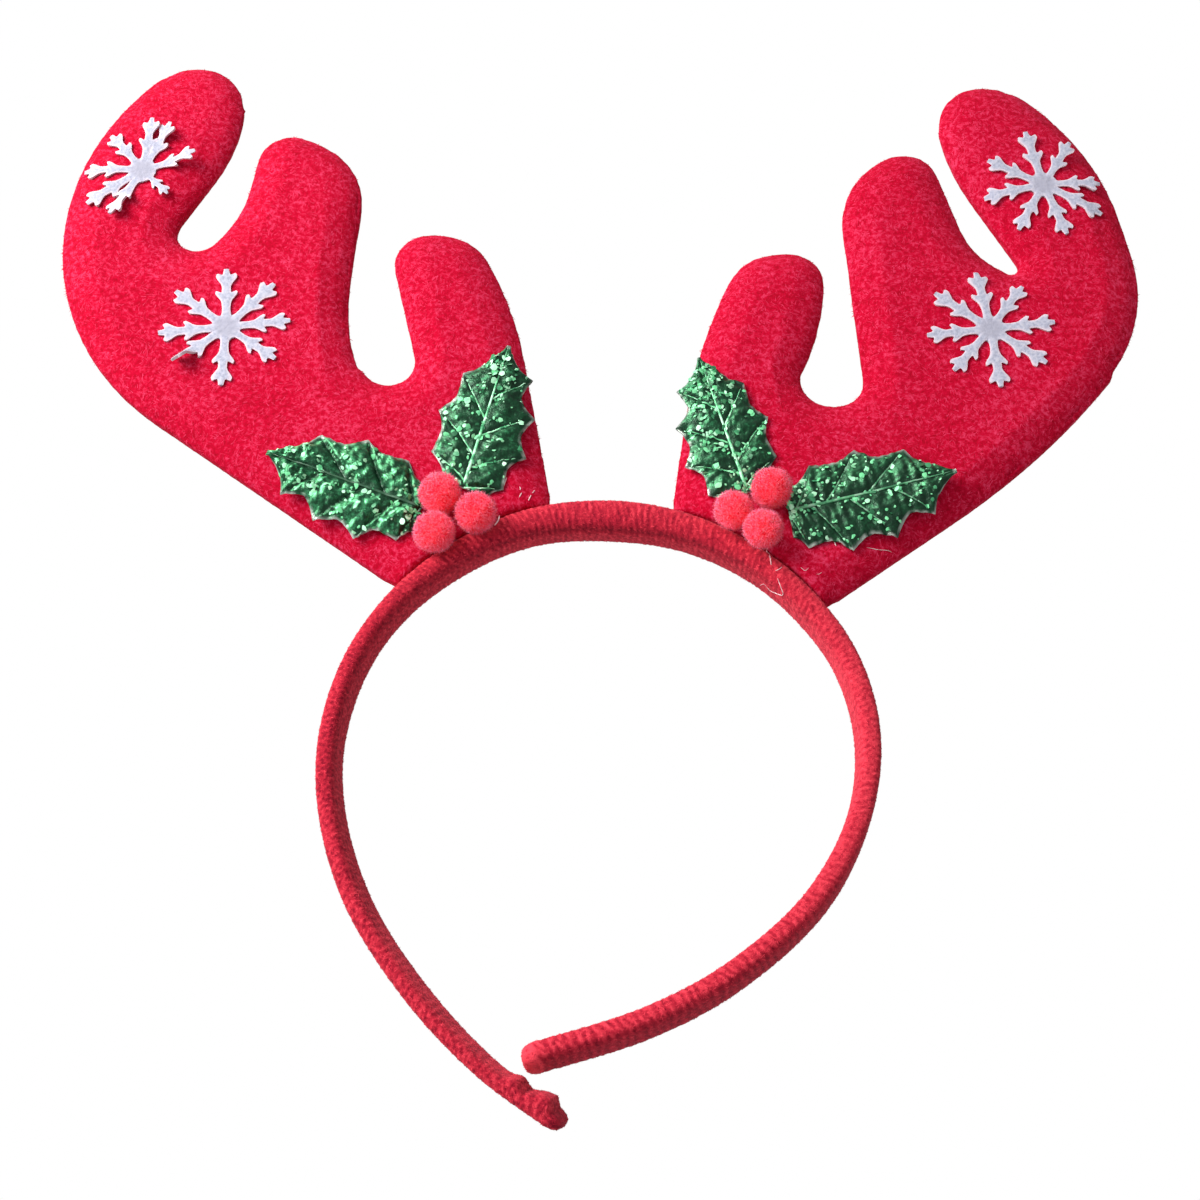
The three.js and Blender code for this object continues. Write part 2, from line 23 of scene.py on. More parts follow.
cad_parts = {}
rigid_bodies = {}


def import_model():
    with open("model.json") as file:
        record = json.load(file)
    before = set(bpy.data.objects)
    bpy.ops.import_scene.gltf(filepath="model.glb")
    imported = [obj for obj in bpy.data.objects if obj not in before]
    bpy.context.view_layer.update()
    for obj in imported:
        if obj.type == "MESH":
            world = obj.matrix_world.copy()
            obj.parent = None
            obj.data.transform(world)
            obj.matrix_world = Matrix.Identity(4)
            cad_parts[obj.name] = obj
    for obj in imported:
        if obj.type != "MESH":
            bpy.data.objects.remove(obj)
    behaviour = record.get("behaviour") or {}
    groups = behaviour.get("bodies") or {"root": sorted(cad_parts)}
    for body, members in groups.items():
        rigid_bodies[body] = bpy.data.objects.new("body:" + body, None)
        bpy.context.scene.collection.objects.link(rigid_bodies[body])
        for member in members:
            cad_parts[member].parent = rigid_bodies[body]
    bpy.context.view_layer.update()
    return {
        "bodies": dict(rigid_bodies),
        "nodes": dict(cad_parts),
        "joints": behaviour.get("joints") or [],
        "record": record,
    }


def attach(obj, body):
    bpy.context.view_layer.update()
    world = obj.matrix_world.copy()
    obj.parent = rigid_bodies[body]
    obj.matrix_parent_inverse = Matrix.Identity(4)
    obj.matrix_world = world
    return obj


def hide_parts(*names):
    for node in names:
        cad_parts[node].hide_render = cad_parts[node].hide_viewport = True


LOG = logging.getLogger("headband")

Array = np.ndarray
Colour = tuple[float, float, float, float]
Span = tuple[float, float]
Triple = tuple[float, float, float]
Chance = np.random.Generator
Piece = bpy.types.Object
Material = bpy.types.Material
Socket = bpy.types.NodeSocket

MM = 0.001
LAYOUT_CENTRE = np.array([-0.53, 12.86, 0.0])
# Heights of the face that the trim lies on and of the flat felt under it, in millimetres.
FACE_Z = 9.3
FELT_TOP = 9.0
# Least and most waves of a ripple in the length of a swell.
WAVE_SPREAD = (0.65, 1.5)
ROOT = "root"


class Slot(Enum):
    """Material slots of the record."""

    BAND = "band"
    FELT = "felt"
    LEAF = "leaf"
    BERRY = "berry"
    FLAKE = "flake"


class LeafHalf(Enum):
    """Halves of a holly leaf, named for how far they reach from the midrib."""

    BROAD = "broad"
    NARROW = "narrow"


def srgb(red: int, green: int, blue: int) -> Colour:
    """Turns a display colour into the linear one that a shader takes.

    Args:
        red: Red from 0 to 255.
        green: Green from 0 to 255.
        blue: Blue from 0 to 255.

    Returns:
        Linear red, green, blue and an alpha of 1.
    """
    linear = []
    for value in (red, green, blue):
        share = value / 255.0
        linear.append(share / 12.92 if share <= 0.04045 else ((share + 0.055) / 1.055) ** 2.4)
    return (linear[0], linear[1], linear[2], 1.0)


def to_part(layout: Array) -> Array:
    """Moves layout points in millimetres to the part's frame in metres."""
    return (np.asarray(layout, dtype=float) - LAYOUT_CENTRE) * MM


def to_layout(part: Array) -> Array:
    """Moves points of the part's frame in metres to the layout in millimetres."""
    return np.asarray(part, dtype=float) / MM + LAYOUT_CENTRE


def smoothstep(value: Array, low: float, high: float) -> Array:
    """Eases from 0 at low to 1 at high."""
    share = np.clip((value - low) / (high - low), 0.0, 1.0)
    return share * share * (3.0 - 2.0 * share)


def bell(value: Array, middle: float, half: float) -> Array:
    """Gives 1 at the middle, falling away on both sides."""
    return np.exp(-(((value - middle) / half) ** 2))


def unit(ways: Array) -> Array:
    """Scales directions to a length of 1."""
    return ways / np.maximum(np.linalg.norm(ways, axis=-1, keepdims=True), 1e-12)


def ripple(points: Array, size: float, seed: int, waves: int = 14) -> Array:
    """Gives a smooth seeded field of about unit swing.

    Args:
        points: Places to read, one row each.
        size: Typical length of a swell, in the points' unit.
        seed: Seed of the field.
        waves: How many waves are summed.

    Returns:
        One value for each place.
    """
    rng = np.random.default_rng(seed)
    ways = unit(rng.normal(size=(waves, points.shape[1])))
    ways *= (2.0 * math.pi / size) * rng.uniform(*WAVE_SPREAD, size=(waves, 1))
    phases = rng.uniform(0.0, 2.0 * math.pi, size=waves)
    return np.sin(points @ ways.T + phases).sum(axis=1) / math.sqrt(waves / 2.0)


class Bench:
    """Operators that the pieces are modelled with."""

    # Degrees between two faces from which their edge counts as cut.
    CUT_ANGLE = 50.0

    @staticmethod
    def pick(piece: Piece) -> None:
        """Selects one piece alone and makes it active."""
        bpy.ops.object.select_all(action="DESELECT")
        piece.select_set(True)
        bpy.context.view_layer.objects.active = piece

    @staticmethod
    def copy_node(node: Piece, name: str) -> Piece:
        """Copies a frame node into a new piece with merged corners.

        Args:
            node: Node of the frame.
            name: Name of the new piece.

        Returns:
            The new piece.
        """
        piece = bpy.data.objects.new(name, node.data.copy())
        piece.data.name = name
        piece.data.materials.clear()
        bpy.context.scene.collection.objects.link(piece)
        Bench.merge(piece)
        return piece

    @staticmethod
    def merge(piece: Piece, distance: float = 1e-6) -> None:
        """Merges corners that lie together and turns the faces outwards.

        Args:
            piece: Piece to mend.
            distance: How far apart merged corners may lie.
        """
        Bench.pick(piece)
        bpy.ops.object.mode_set(mode="EDIT")
        bpy.ops.mesh.select_all(action="SELECT")
        bpy.ops.mesh.remove_doubles(threshold=distance)
        bpy.ops.mesh.normals_make_consistent(inside=False)
        bpy.ops.object.mode_set(mode="OBJECT")

    @staticmethod
    def grid(name: str, rows: int, columns: int) -> tuple[Piece, Array, Array]:
        """Adds a flat grid to be shaped.

        Args:
            name: Name of the new piece.
            rows: Faces along the piece.
            columns: Faces across it.

        Returns:
            The piece, and each corner's place along and across it from 0 to 1.
        """
        bpy.ops.object.select_all(action="DESELECT")
        bpy.ops.mesh.primitive_grid_add(x_subdivisions=rows, y_subdivisions=columns, size=2.0)
        piece = bpy.context.object
        piece.name = name
        piece.data.name = name
        flat = Bench.points(piece)
        return piece, (flat[:, 0] + 1.0) / 2.0, (flat[:, 1] + 1.0) / 2.0

    @staticmethod
    def points(piece: Piece) -> Array:
        """Reads the corners of a piece."""
        flat = np.empty(len(piece.data.vertices) * 3)
        piece.data.vertices.foreach_get("co", flat)
        return flat.reshape(-1, 3)

    @staticmethod
    def place(piece: Piece, points: Array) -> None:
        """Moves the corners of a piece."""
        piece.data.vertices.foreach_set("co", np.ascontiguousarray(points, dtype=float).ravel())
        piece.data.update()

    @staticmethod
    def normals(piece: Piece) -> Array:
        """Reads the directions out of a piece at its corners."""
        flat = np.empty(len(piece.data.vertices) * 3)
        piece.data.vertex_normals.foreach_get("vector", flat)
        return flat.reshape(-1, 3)

    @staticmethod
    def mark(piece: Piece, name: str, values: Array) -> None:
        """Stores a value for each corner, for a material to read."""
        layer = piece.data.attributes.new(name, "FLOAT", "POINT")
        layer.data.foreach_set("value", np.ascontiguousarray(values, dtype=np.float32))

    @staticmethod
    def apply(piece: Piece, kind: str, **settings: object) -> None:
        """Adds a modifier and applies it.

        Args:
            piece: Piece to work on.
            kind: Type of the modifier.
            **settings: Values of the modifier.
        """
        Bench.pick(piece)
        modifier = piece.modifiers.new(kind.title(), kind)
        for key, value in settings.items():
            setattr(modifier, key, value)
        bpy.ops.object.modifier_apply(modifier=modifier.name)

    @staticmethod
    def rumple(piece: Piece, size: float, depth: float) -> None:
        """Roughens a surface with soft lumps.

        Args:
            piece: Piece to roughen.
            size: Size of a lump in metres.
            depth: Swing of the surface in metres.
        """
        lumps = bpy.data.textures.new("lumps", "CLOUDS")
        lumps.noise_scale = size
        lumps.noise_depth = 1
        Bench.apply(piece, "DISPLACE", texture=lumps, texture_coords="LOCAL", strength=depth, mid_level=0.5)
        bpy.data.textures.remove(lumps)

    @staticmethod
    def smooth(piece: Piece) -> None:
        """Shades a piece smooth."""
        Bench.pick(piece)
        bpy.ops.object.shade_smooth()

    @staticmethod
    def soften(piece: Piece) -> None:
        """Lets light pass between thin fibres, so that they darken nothing under them."""
        piece.visible_shadow = False
        piece.visible_diffuse = False

    @staticmethod
    def crisp(piece: Piece) -> None:
        """Shades a piece smooth between its cut edges."""
        Bench.pick(piece)
        bpy.ops.object.shade_smooth_by_angle(angle=math.radians(Bench.CUT_ANGLE))

    @staticmethod
    def join(pieces: Sequence[Piece], name: str) -> Piece:
        """Joins pieces into one.

        Args:
            pieces: Pieces to join.
            name: Name of the joined piece.

        Returns:
            The joined piece.
        """
        Bench.pick(pieces[0])
        for piece in pieces:
            piece.select_set(True)
        bpy.ops.object.join()
        pieces[0].name = name
        pieces[0].data.name = name
        return pieces[0]

    @staticmethod
    def face_up(piece: Piece) -> None:
        """Turns the faces of an open sheet upwards."""
        if Bench.normals(piece)[:, 2].mean() < 0.0:
            Bench.pick(piece)
            bpy.ops.object.mode_set(mode="EDIT")
            bpy.ops.mesh.select_all(action="SELECT")
            bpy.ops.mesh.flip_normals()
            bpy.ops.object.mode_set(mode="OBJECT")

    @staticmethod
    def scatter(piece: Piece, count: int, rng: Chance) -> tuple[Array, Array, Array]:
        """Picks places evenly over a surface.

        Args:
            piece: Piece to pick on.
            count: How many places to pick.
            rng: Seeded source of chance.

        Returns:
            The places, the directions out of the surface there and its shade there.
        """
        mesh = piece.data
        mesh.calc_loop_triangles()
        corners = np.empty(len(mesh.loop_triangles) * 3, dtype=np.int64)
        mesh.loop_triangles.foreach_get("vertices", corners)
        corners = corners.reshape(-1, 3)
        points = Bench.points(piece)
        outward = Bench.normals(piece)
        shade = np.zeros(len(points))
        if "tint" in mesh.attributes:
            mesh.attributes["tint"].data.foreach_get("value", shade)
        a, b, c = (points[corners[:, side]] for side in range(3))
        area = np.linalg.norm(np.cross(b - a, c - a), axis=1)
        chosen = rng.choice(len(corners), size=count, p=area / area.sum())
        u = np.sqrt(rng.random(count))[:, None]
        v = rng.random(count)[:, None]
        weights = (1.0 - u, u * (1.0 - v), u * v)
        places = sum(weight * points[corners[chosen, side]] for side, weight in enumerate(weights))
        ways = sum(weight * outward[corners[chosen, side]] for side, weight in enumerate(weights))
        shades = sum(weight[:, 0] * shade[corners[chosen, side]] for side, weight in enumerate(weights))
        return places, unit(ways), shades

    @staticmethod
    def mesh_piece(name: str, points: Array, faces: Array) -> Piece:
        """Makes a piece from arrays, for small things that repeat.

        Args:
            name: Name of the new piece.
            points: Corners in metres.
            faces: Corner numbers of each triangle.

        Returns:
            The new piece.
        """
        mesh = bpy.data.meshes.new(name)
        mesh.vertices.add(len(points))
        mesh.vertices.foreach_set("co", np.ascontiguousarray(points, dtype=float).ravel())
        mesh.loops.add(faces.size)
        mesh.loops.foreach_set("vertex_index", faces.ravel().astype(np.int32))
        mesh.polygons.add(len(faces))
        mesh.polygons.foreach_set("loop_start", np.arange(0, faces.size, 3, dtype=np.int32))
        mesh.update(calc_edges=True)
        piece = bpy.data.objects.new(name, mesh)
        bpy.context.scene.collection.objects.link(piece)
        return piece


@dataclass
class Fibres:
    """Short fibres of a soft surface, each a thin closed spike with its half width and its shade."""

    name: str
    roots: Array
    tips: Array
    width: Array
    tint: Array

    # Thickness of a laid fibre against its width, and how much lighter its tip is: painted light on the tip.
    LAID_FLAT, TIP_LIGHT = 0.15, 0.12

    @staticmethod
    def frames(ways: Array, rng: Chance) -> tuple[Array, Array]:
        """Gives two unit directions across each of the given ones, turned at random."""
        first = unit(np.cross(ways, rng.normal(size=ways.shape)))
        return first, np.cross(ways, first)

    def laid(self, above: Array) -> Piece:
        """Makes fibres that lie flat on a surface.

        Args:
            above: Unit directions out of the surface.

        Returns:
            The new piece.
        """
        ways = unit(self.tips - self.roots)
        first = unit(np.cross(ways, above))
        piece = self._pointed(np.cross(first, ways) * self.LAID_FLAT, first)
        piece.data.shade_flat()
        return piece

    def spikes(self, rng: Chance) -> Piece:
        """Makes fibres that stand out, turned at random."""
        return self._pointed(*self.frames(unit(self.tips - self.roots), rng))

    def _pointed(self, first: Array, second: Array) -> Piece:
        """Makes the pointed fibres.

        Args:
            first: Directions across the fibres.
            second: Directions across the first ones.

        Returns:
            The new piece.
        """
        count = len(self.roots)
        points = np.empty((count, 4, 3))
        for side in range(3):
            angle = 2.0 * math.pi * side / 3.0
            across = math.cos(angle) * first + math.sin(angle) * second
            points[:, side] = self.roots + self.width[:, None] * across
        points[:, 3] = self.tips
        pattern = np.array([[0, 1, 3], [1, 2, 3], [2, 0, 3], [2, 1, 0]])
        faces = (pattern[None] + 4 * np.arange(count)[:, None, None]).reshape(-1, 3)
        piece = Bench.mesh_piece(self.name, points.reshape(-1, 3), faces)
        shade = np.repeat(self.tint, 4).reshape(-1, 4)
        # Painted light: the tip is lighter than the rest of the fibre.
        shade[:, 3] = np.clip(shade[:, 3] + self.TIP_LIGHT, 0.0, 1.0)
        Bench.mark(piece, "tint", shade.ravel())
        return piece


@dataclass(frozen=True)
class Pelt:
    """Fibres laid on a soft surface: least and most sizes in millimetres, and how far they vary."""

    length: Span
    width: Span
    rise: Span
    clear: float
    astray: float = 1.0
    speckle: float = 0.16

    def lay(
        self, name: str, roots: Array, ways: Array, drift: Array, full: Array, tint: Array,
        rng: Chance,
    ) -> Piece:
        """Lays the fibres.

        Args:
            name: Name of the new piece.
            roots: Places on the surface in metres.
            ways: Unit directions out of the surface there.
            drift: Directions that the fibres are brushed in, zero where they lie anyhow.
            full: Share of the length that the fibres have there.
            tint: Shade there, before the speckle.
            rng: Seeded source of chance.

        Returns:
            The fibres.
        """
        count = len(roots)
        lay = drift + self.astray * rng.normal(size=(count, 3))
        lay = unit(lay - (lay * ways).sum(axis=1, keepdims=True) * ways)
        length = rng.uniform(*self.length, size=(count, 1)) * MM * full
        width = rng.uniform(*self.width, size=count) * MM
        shade = np.clip(tint + rng.normal(0.0, self.speckle, size=count), 0.0, 1.0)
        roots = roots + self.clear * MM * ways
        tips = roots + (lay + rng.uniform(*self.rise, size=(count, 1)) * ways) * length
        tips[:, 2] = np.maximum(tips[:, 2], 0.0)
        piece = Fibres(name, roots, tips, width, shade).laid(ways)
        Bench.soften(piece)
        return piece


class Tube:
    """A closed tube along a line."""

    @staticmethod
    def rings(spine: Array, half: Array, sides: int, flat: float) -> Array:
        """Places the corners of the rings.

        Args:
            spine: Points along the line in metres.
            half: Half the width at each point.
            sides: Corners of a ring.
            flat: Height against width.

        Returns:
            Corners, ring after ring.
        """
        ahead = unit(np.gradient(spine, axis=0))
        beside = unit(np.cross(ahead, np.array([0.0, 0.0, 1.0])))
        above = np.cross(beside, ahead)
        rings = np.empty((len(spine), sides, 3))
        for side in range(sides):
            angle = 2.0 * math.pi * side / sides
            across = math.cos(angle) * beside + flat * math.sin(angle) * above
            rings[:, side] = spine + half[:, None] * across
        return rings.reshape(-1, 3)

    @staticmethod
    def faces(rows: int, sides: int) -> Array:
        """Lists the triangles of a closed tube.

        Args:
            rows: Rings along the tube.
            sides: Corners of a ring.

        Returns:
            Corner numbers of each triangle.
        """
        faces = []
        for row in range(rows - 1):
            for side in range(sides):
                a = row * sides + side
                b = row * sides + (side + 1) % sides
                faces.append((a, b, b + sides))
                faces.append((a, b + sides, a + sides))
        last = (rows - 1) * sides
        for side in range(1, sides - 1):
            faces.append((0, side + 1, side))
            faces.append((last, last + side, last + side + 1))
        return np.array(faces)


class Sketch:
    """A material's node tree, drawn node by node."""

    def __init__(self, name: str) -> None:
        """Starts an empty material.

        Args:
            name: Name of the material.
        """
        self.material = bpy.data.materials.new(name)
        self.material.use_nodes = True
        self.tree = self.material.node_tree
        self.tree.nodes.clear()
        self.output = self.tree.nodes.new("ShaderNodeOutputMaterial")

    def node(self, kind: str, inputs: dict[str, object] | None = None, **settings: object) -> bpy.types.Node:
        """Adds a node, sets its values and links its inputs.

        Args:
            kind: Node type without its ShaderNode prefix.
            inputs: Values or sockets by input name.
            **settings: Settings of the node itself.

        Returns:
            The node.
        """
        node = self.tree.nodes.new("ShaderNode" + kind)
        for key, value in settings.items():
            setattr(node, key, value)
        for key, value in (inputs or {}).items():
            if isinstance(value, Socket):
                self.tree.links.new(value, node.inputs[key])
            else:
                node.inputs[key].default_value = value
        return node

    def place(self) -> Socket:
        """Gives the object coordinates."""
        return self.node("TexCoord").outputs["Object"]

    def noise(self, size: float, detail: float = 2.0, rough: float = 0.55) -> Socket:
        """Gives soft noise from 0 to 1, with blots of the given size in metres."""
        inputs = {"Vector": self.place(), "Scale": 1.0 / size, "Detail": detail, "Roughness": rough}
        return self.node("TexNoise", inputs).outputs["Fac"]

    def attribute(self, name: str) -> Socket:
        """Gives a value stored on the piece."""
        return self.node("Attribute", attribute_name=name).outputs["Fac"]

    def ramp(self, value: Socket, stops: Sequence[float], colours: Sequence[Colour]) -> Socket:
        """Turns a value into a colour.

        Args:
            value: Value from 0 to 1.
            stops: Places along the ramp.
            colours: Colours at those places.

        Returns:
            The colour.
        """
        node = self.node("ValToRGB", {"Fac": value})
        band = node.color_ramp
        while len(band.elements) < len(stops):
            band.elements.new(0.5)
        for element, at, colour in zip(band.elements, stops, colours):
            element.position = at
            element.color = colour
        return node.outputs["Color"]

    def mix(self, share: object, first: object, second: object) -> Socket:
        """Mixes two colours, with the given share of the second."""
        return self.node("MixRGB", {"Fac": share, "Color1": first, "Color2": second}).outputs["Color"]

    def blend(self, fine: Socket, broad: Socket, share: float) -> Socket:
        """Blends two noises, with the given share of the fine one."""
        return self.math("ADD", self.math("MULTIPLY", fine, share), self.math("MULTIPLY", broad, 1.0 - share))

    def math(self, operation: str, first: object, second: object) -> Socket:
        """Joins two values.

        Args:
            operation: Name of the sum.
            first: First value or socket.
            second: Second value or socket.

        Returns:
            The result.
        """
        node = self.tree.nodes.new("ShaderNodeMath")
        node.operation = operation
        for socket, value in zip(node.inputs, (first, second)):
            if isinstance(value, Socket):
                self.tree.links.new(value, socket)
            else:
                socket.default_value = value
        return node.outputs["Value"]

    def bump(self, height: Socket, depth: float, strength: float) -> Socket:
        """Gives a normal bumped by a height, with the depth of a full swing in metres."""
        inputs = {"Height": height, "Distance": depth, "Strength": strength}
        return self.node("Bump", inputs).outputs["Normal"]

    def surface(self, **inputs: object) -> Material:
        """Ends the material with its shader.

        Args:
            **inputs: Values or sockets of the shader, with underscores for spaces.

        Returns:
            The finished material.
        """
        named = {key.replace("_", " "): value for key, value in inputs.items()}
        shader = self.node("BsdfPrincipled", named)
        self.tree.links.new(shader.outputs["BSDF"], self.output.inputs["Surface"])
        return self.material


@dataclass(frozen=True)
class Finish:
    """A finish of three tones: where they lie on the cloth's noise and on the fibres' tint, and its blots."""

    deep: Colour
    plain: Colour
    bright: Colour
    stops: Triple
    middle: float
    blot: float

    @property
    def tones(self) -> tuple[Colour, Colour, Colour]:
        """Gives the tones from deep to bright."""
        return self.deep, self.plain, self.bright

    def fibre(self, sketch: Sketch) -> Socket:
        """Colours fibres by the tint stored on them."""
        return sketch.ramp(sketch.attribute("tint"), (0.0, self.middle, 1.0), self.tones)


@dataclass(frozen=True)
class FeltFinish(Finish):
    """Brushed red felt with a mottled nap."""

    deep: Colour = srgb(150, 0, 27)
    plain: Colour = srgb(174, 0, 39)
    bright: Colour = srgb(198, 50, 84)
    stops: Triple = (0.36, 0.5, 0.66)
    middle: float = 0.45
    blot: float = 0.0011
    cloud: float = 0.016
    fine_share: float = 0.8

    def cloth(self) -> Material:
        """Makes the felt under the nap."""
        sketch = Sketch("felt_cloth")
        fine = sketch.noise(self.blot, detail=3.0, rough=0.6)
        value = sketch.blend(fine, sketch.noise(self.cloud, detail=1.0), self.fine_share)
        colour = sketch.ramp(value, self.stops, self.tones)
        normal = sketch.bump(fine, depth=0.00012, strength=0.6)
        return sketch.surface(
            Base_Color=colour, Roughness=0.95, Specular_IOR_Level=0.08, Normal=normal,
            Sheen_Weight=0.06, Sheen_Roughness=0.5, Sheen_Tint=srgb(255, 110, 140),
        )

    def nap(self) -> Material:
        """Makes the fibres that lie on the felt."""
        sketch = Sketch("felt_nap")
        colour = self.fibre(sketch)
        return sketch.surface(
            Base_Color=colour, Roughness=0.9, Specular_IOR_Level=0.08,
            Sheen_Weight=0.06, Sheen_Roughness=0.5, Sheen_Tint=srgb(255, 120, 150),
        )


@dataclass(frozen=True)
class PlushFinish(Finish):
    """Ribbed red plush of the hoop, with painted shade deep in its grooves and painted light pale on its
    ribs.
    """

    deep: Colour = srgb(118, 2, 28)
    plain: Colour = srgb(170, 27, 47)
    bright: Colour = srgb(224, 62, 78)
    stops: Triple = (0.3, 0.66, 1.0)
    middle: float = 0.45
    blot: float = 0.0008
    fine_share: float = 0.5

    def cloth(self) -> Material:
        """Makes the wrapped cloth."""
        sketch = Sketch("plush_cloth")
        fine = sketch.noise(self.blot, detail=3.0, rough=0.6)
        value = sketch.math("ADD", sketch.math("MULTIPLY", fine, self.fine_share), sketch.attribute("tint"))
        colour = sketch.ramp(value, self.stops, self.tones)
        normal = sketch.bump(fine, depth=0.0003, strength=0.8)
        return sketch.surface(
            Base_Color=colour, Roughness=0.92, Specular_IOR_Level=0.15, Normal=normal,
            Sheen_Weight=0.25, Sheen_Roughness=0.45, Sheen_Tint=srgb(255, 130, 145),
        )

    def pile(self) -> Material:
        """Makes the short pile that lies on the cloth."""
        sketch = Sketch("plush_pile")
        colour = self.fibre(sketch)
        return sketch.surface(
            Base_Color=colour, Roughness=0.9, Specular_IOR_Level=0.15,
            Sheen_Weight=0.25, Sheen_Roughness=0.45, Sheen_Tint=srgb(255, 140, 150),
        )


@dataclass(frozen=True)
class GlitterFinish(Finish):
    """Embossed green glitter cloth of the holly leaves."""

    deep: Colour = srgb(8, 44, 26)
    plain: Colour = srgb(16, 68, 40)
    bright: Colour = srgb(64, 152, 102)
    stops: Triple = (0.4, 0.57, 0.8)
    middle: float = 0.3
    blot: float = 0.0009
    patch: float = 0.004
    line_patch: float = 0.0022
    fine_share: float = 0.65
    light_step: float = 0.3
    mint_at: float = 0.7
    line_stops: Triple = (0.38, 0.5, 0.62)
    rim: Colour = srgb(196, 206, 196)
    mint: Colour = srgb(112, 210, 146)
    white: Colour = srgb(182, 238, 200)

    def cloth(self, light: float) -> Material:
        """Makes the pressed cloth.

        Args:
            light: How far the cloth is painted light, from 0 to 1, lighter on a leaf that catches more of the
                lamp.

        Returns:
            The material.
        """
        sketch = Sketch("leaf_cloth")
        fine = sketch.noise(self.blot, detail=3.0, rough=0.65)
        value = sketch.blend(fine, sketch.noise(self.patch, detail=1.0), self.fine_share)
        # Painted light: a leaf that catches more of the lamp gets lighter tones.
        lift = self.light_step * (light - 0.5)
        green = sketch.ramp(value, [stop - lift for stop in self.stops], self.tones)
        # Painted highlight: mint where the leaf's slopes face the lamp.
        gleaming = sketch.mix(sketch.attribute("painted_gleam"), green, self.mint)
        # Painted shade: deep green beside the pressed lines.
        pressed = sketch.mix(sketch.attribute("groove"), gleaming, self.deep)
        colour = sketch.mix(sketch.attribute("rim"), pressed, self.rim)
        normal = sketch.bump(fine, depth=0.0003, strength=0.8)
        return sketch.surface(
            Base_Color=colour, Roughness=0.34, Metallic=0.5, Specular_IOR_Level=0.4, Normal=normal
        )

    def rib(self, foil_glint: float) -> Material:
        """Makes the pressed lines along the veins.

        Args:
            foil_glint: Share of bright foil, partly painted highlight, from 0 to 1. The rest is dark cloth.

        Returns:
            The material.
        """
        sketch = Sketch("leaf_rib")
        fine = sketch.noise(self.line_patch)
        lines = sketch.ramp(fine, self.line_stops, (self.bright, self.mint, self.white))
        # Bright foil tones, partly painted highlight where the lines catch light; the rest is dark cloth.
        colour = sketch.mix(1.0 - foil_glint, lines, self.deep)
        return sketch.surface(Base_Color=colour, Roughness=0.35, Metallic=0.1, Specular_IOR_Level=0.6)

    def glitter(self) -> Material:
        """Makes the loose flakes of glitter."""
        sketch = Sketch("leaf_glitter")
        stops = (0.0, self.middle, self.mint_at, 1.0)
        tones = (self.plain, self.bright, self.mint, self.white)
        colour = sketch.ramp(sketch.attribute("tint"), stops, tones)
        return sketch.surface(Base_Color=colour, Roughness=0.45, Metallic=0.1, Specular_IOR_Level=0.4)


@dataclass(frozen=True)
class YarnFinish(Finish):
    """Coral yarn of the pompoms, with painted shade deeper in the hollows of its bump."""

    deep: Colour = srgb(228, 10, 34)
    plain: Colour = srgb(243, 32, 50)
    bright: Colour = srgb(253, 55, 70)
    stops: Triple = (0.34, 0.52, 0.7)
    middle: float = 0.5
    blot: float = 0.0009

    def yarn(self) -> Material:
        """Makes the cut yarn."""
        sketch = Sketch("pompom_yarn")
        colour = self.fibre(sketch)
        return sketch.surface(
            Base_Color=colour, Roughness=0.9, Specular_IOR_Level=0.1,
            Subsurface_Weight=0.6, Subsurface_Radius=(1.0, 0.4, 0.4), Subsurface_Scale=0.001,
            Sheen_Weight=0.3, Sheen_Roughness=0.5, Sheen_Tint=srgb(255, 150, 150),
        )

    def head(self) -> Material:
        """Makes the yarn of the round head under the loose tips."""
        sketch = Sketch("pompom_head")
        fine = sketch.noise(self.blot)
        # The same noise bumps the head, so the deep tone lies as painted shade in the hollows.
        colour = sketch.ramp(fine, self.stops, self.tones)
        normal = sketch.bump(fine, depth=0.0002, strength=0.5)
        return sketch.surface(
            Base_Color=colour, Roughness=0.95, Specular_IOR_Level=0.1, Normal=normal,
            Subsurface_Weight=0.5, Subsurface_Radius=(1.0, 0.3, 0.3), Subsurface_Scale=0.002,
        )


@dataclass(frozen=True)
class SnowFinish(Finish):
    """White snowflake felt, with painted bluish shade in its hollows and painted light along its cut edges.
    """

    deep: Colour = srgb(145, 147, 164)
    plain: Colour = srgb(163, 165, 182)
    bright: Colour = srgb(177, 176, 188)
    stops: Triple = (0.34, 0.5, 0.66)
    middle: float = 0.5
    blot: float = 0.0008
    edge: Colour = srgb(204, 188, 198)
    hub: Colour = srgb(149, 148, 163)

    def cloth(self) -> Material:
        """Makes the cut felt."""
        sketch = Sketch("snow_cloth")
        fine = sketch.noise(self.blot, detail=3.0, rough=0.6)
        # The same noise bumps the felt, so its deep bluish tone is painted shade in the hollows.
        white = sketch.ramp(fine, self.stops, self.tones)
        worn = sketch.mix(sketch.attribute("hub"), white, self.hub)
        # Painted light: pale pink rim along the cut edges.
        colour = sketch.mix(sketch.attribute("rim"), worn, self.edge)
        normal = sketch.bump(fine, depth=0.00025, strength=0.7)
        return sketch.surface(
            Base_Color=colour, Roughness=0.95, Specular_IOR_Level=0.2, Normal=normal,
            Sheen_Weight=0.2, Sheen_Roughness=0.5, Sheen_Tint=srgb(255, 245, 250),
        )

    def fuzz(self) -> Material:
        """Makes the loose fibres along the cut edges."""
        sketch = Sketch("snow_fuzz")
        tones = (self.deep, self.plain, self.edge)
        colour = sketch.ramp(sketch.attribute("tint"), (0.0, self.middle, 1.0), tones)
        return sketch.surface(Base_Color=colour, Roughness=0.9, Specular_IOR_Level=0.2)


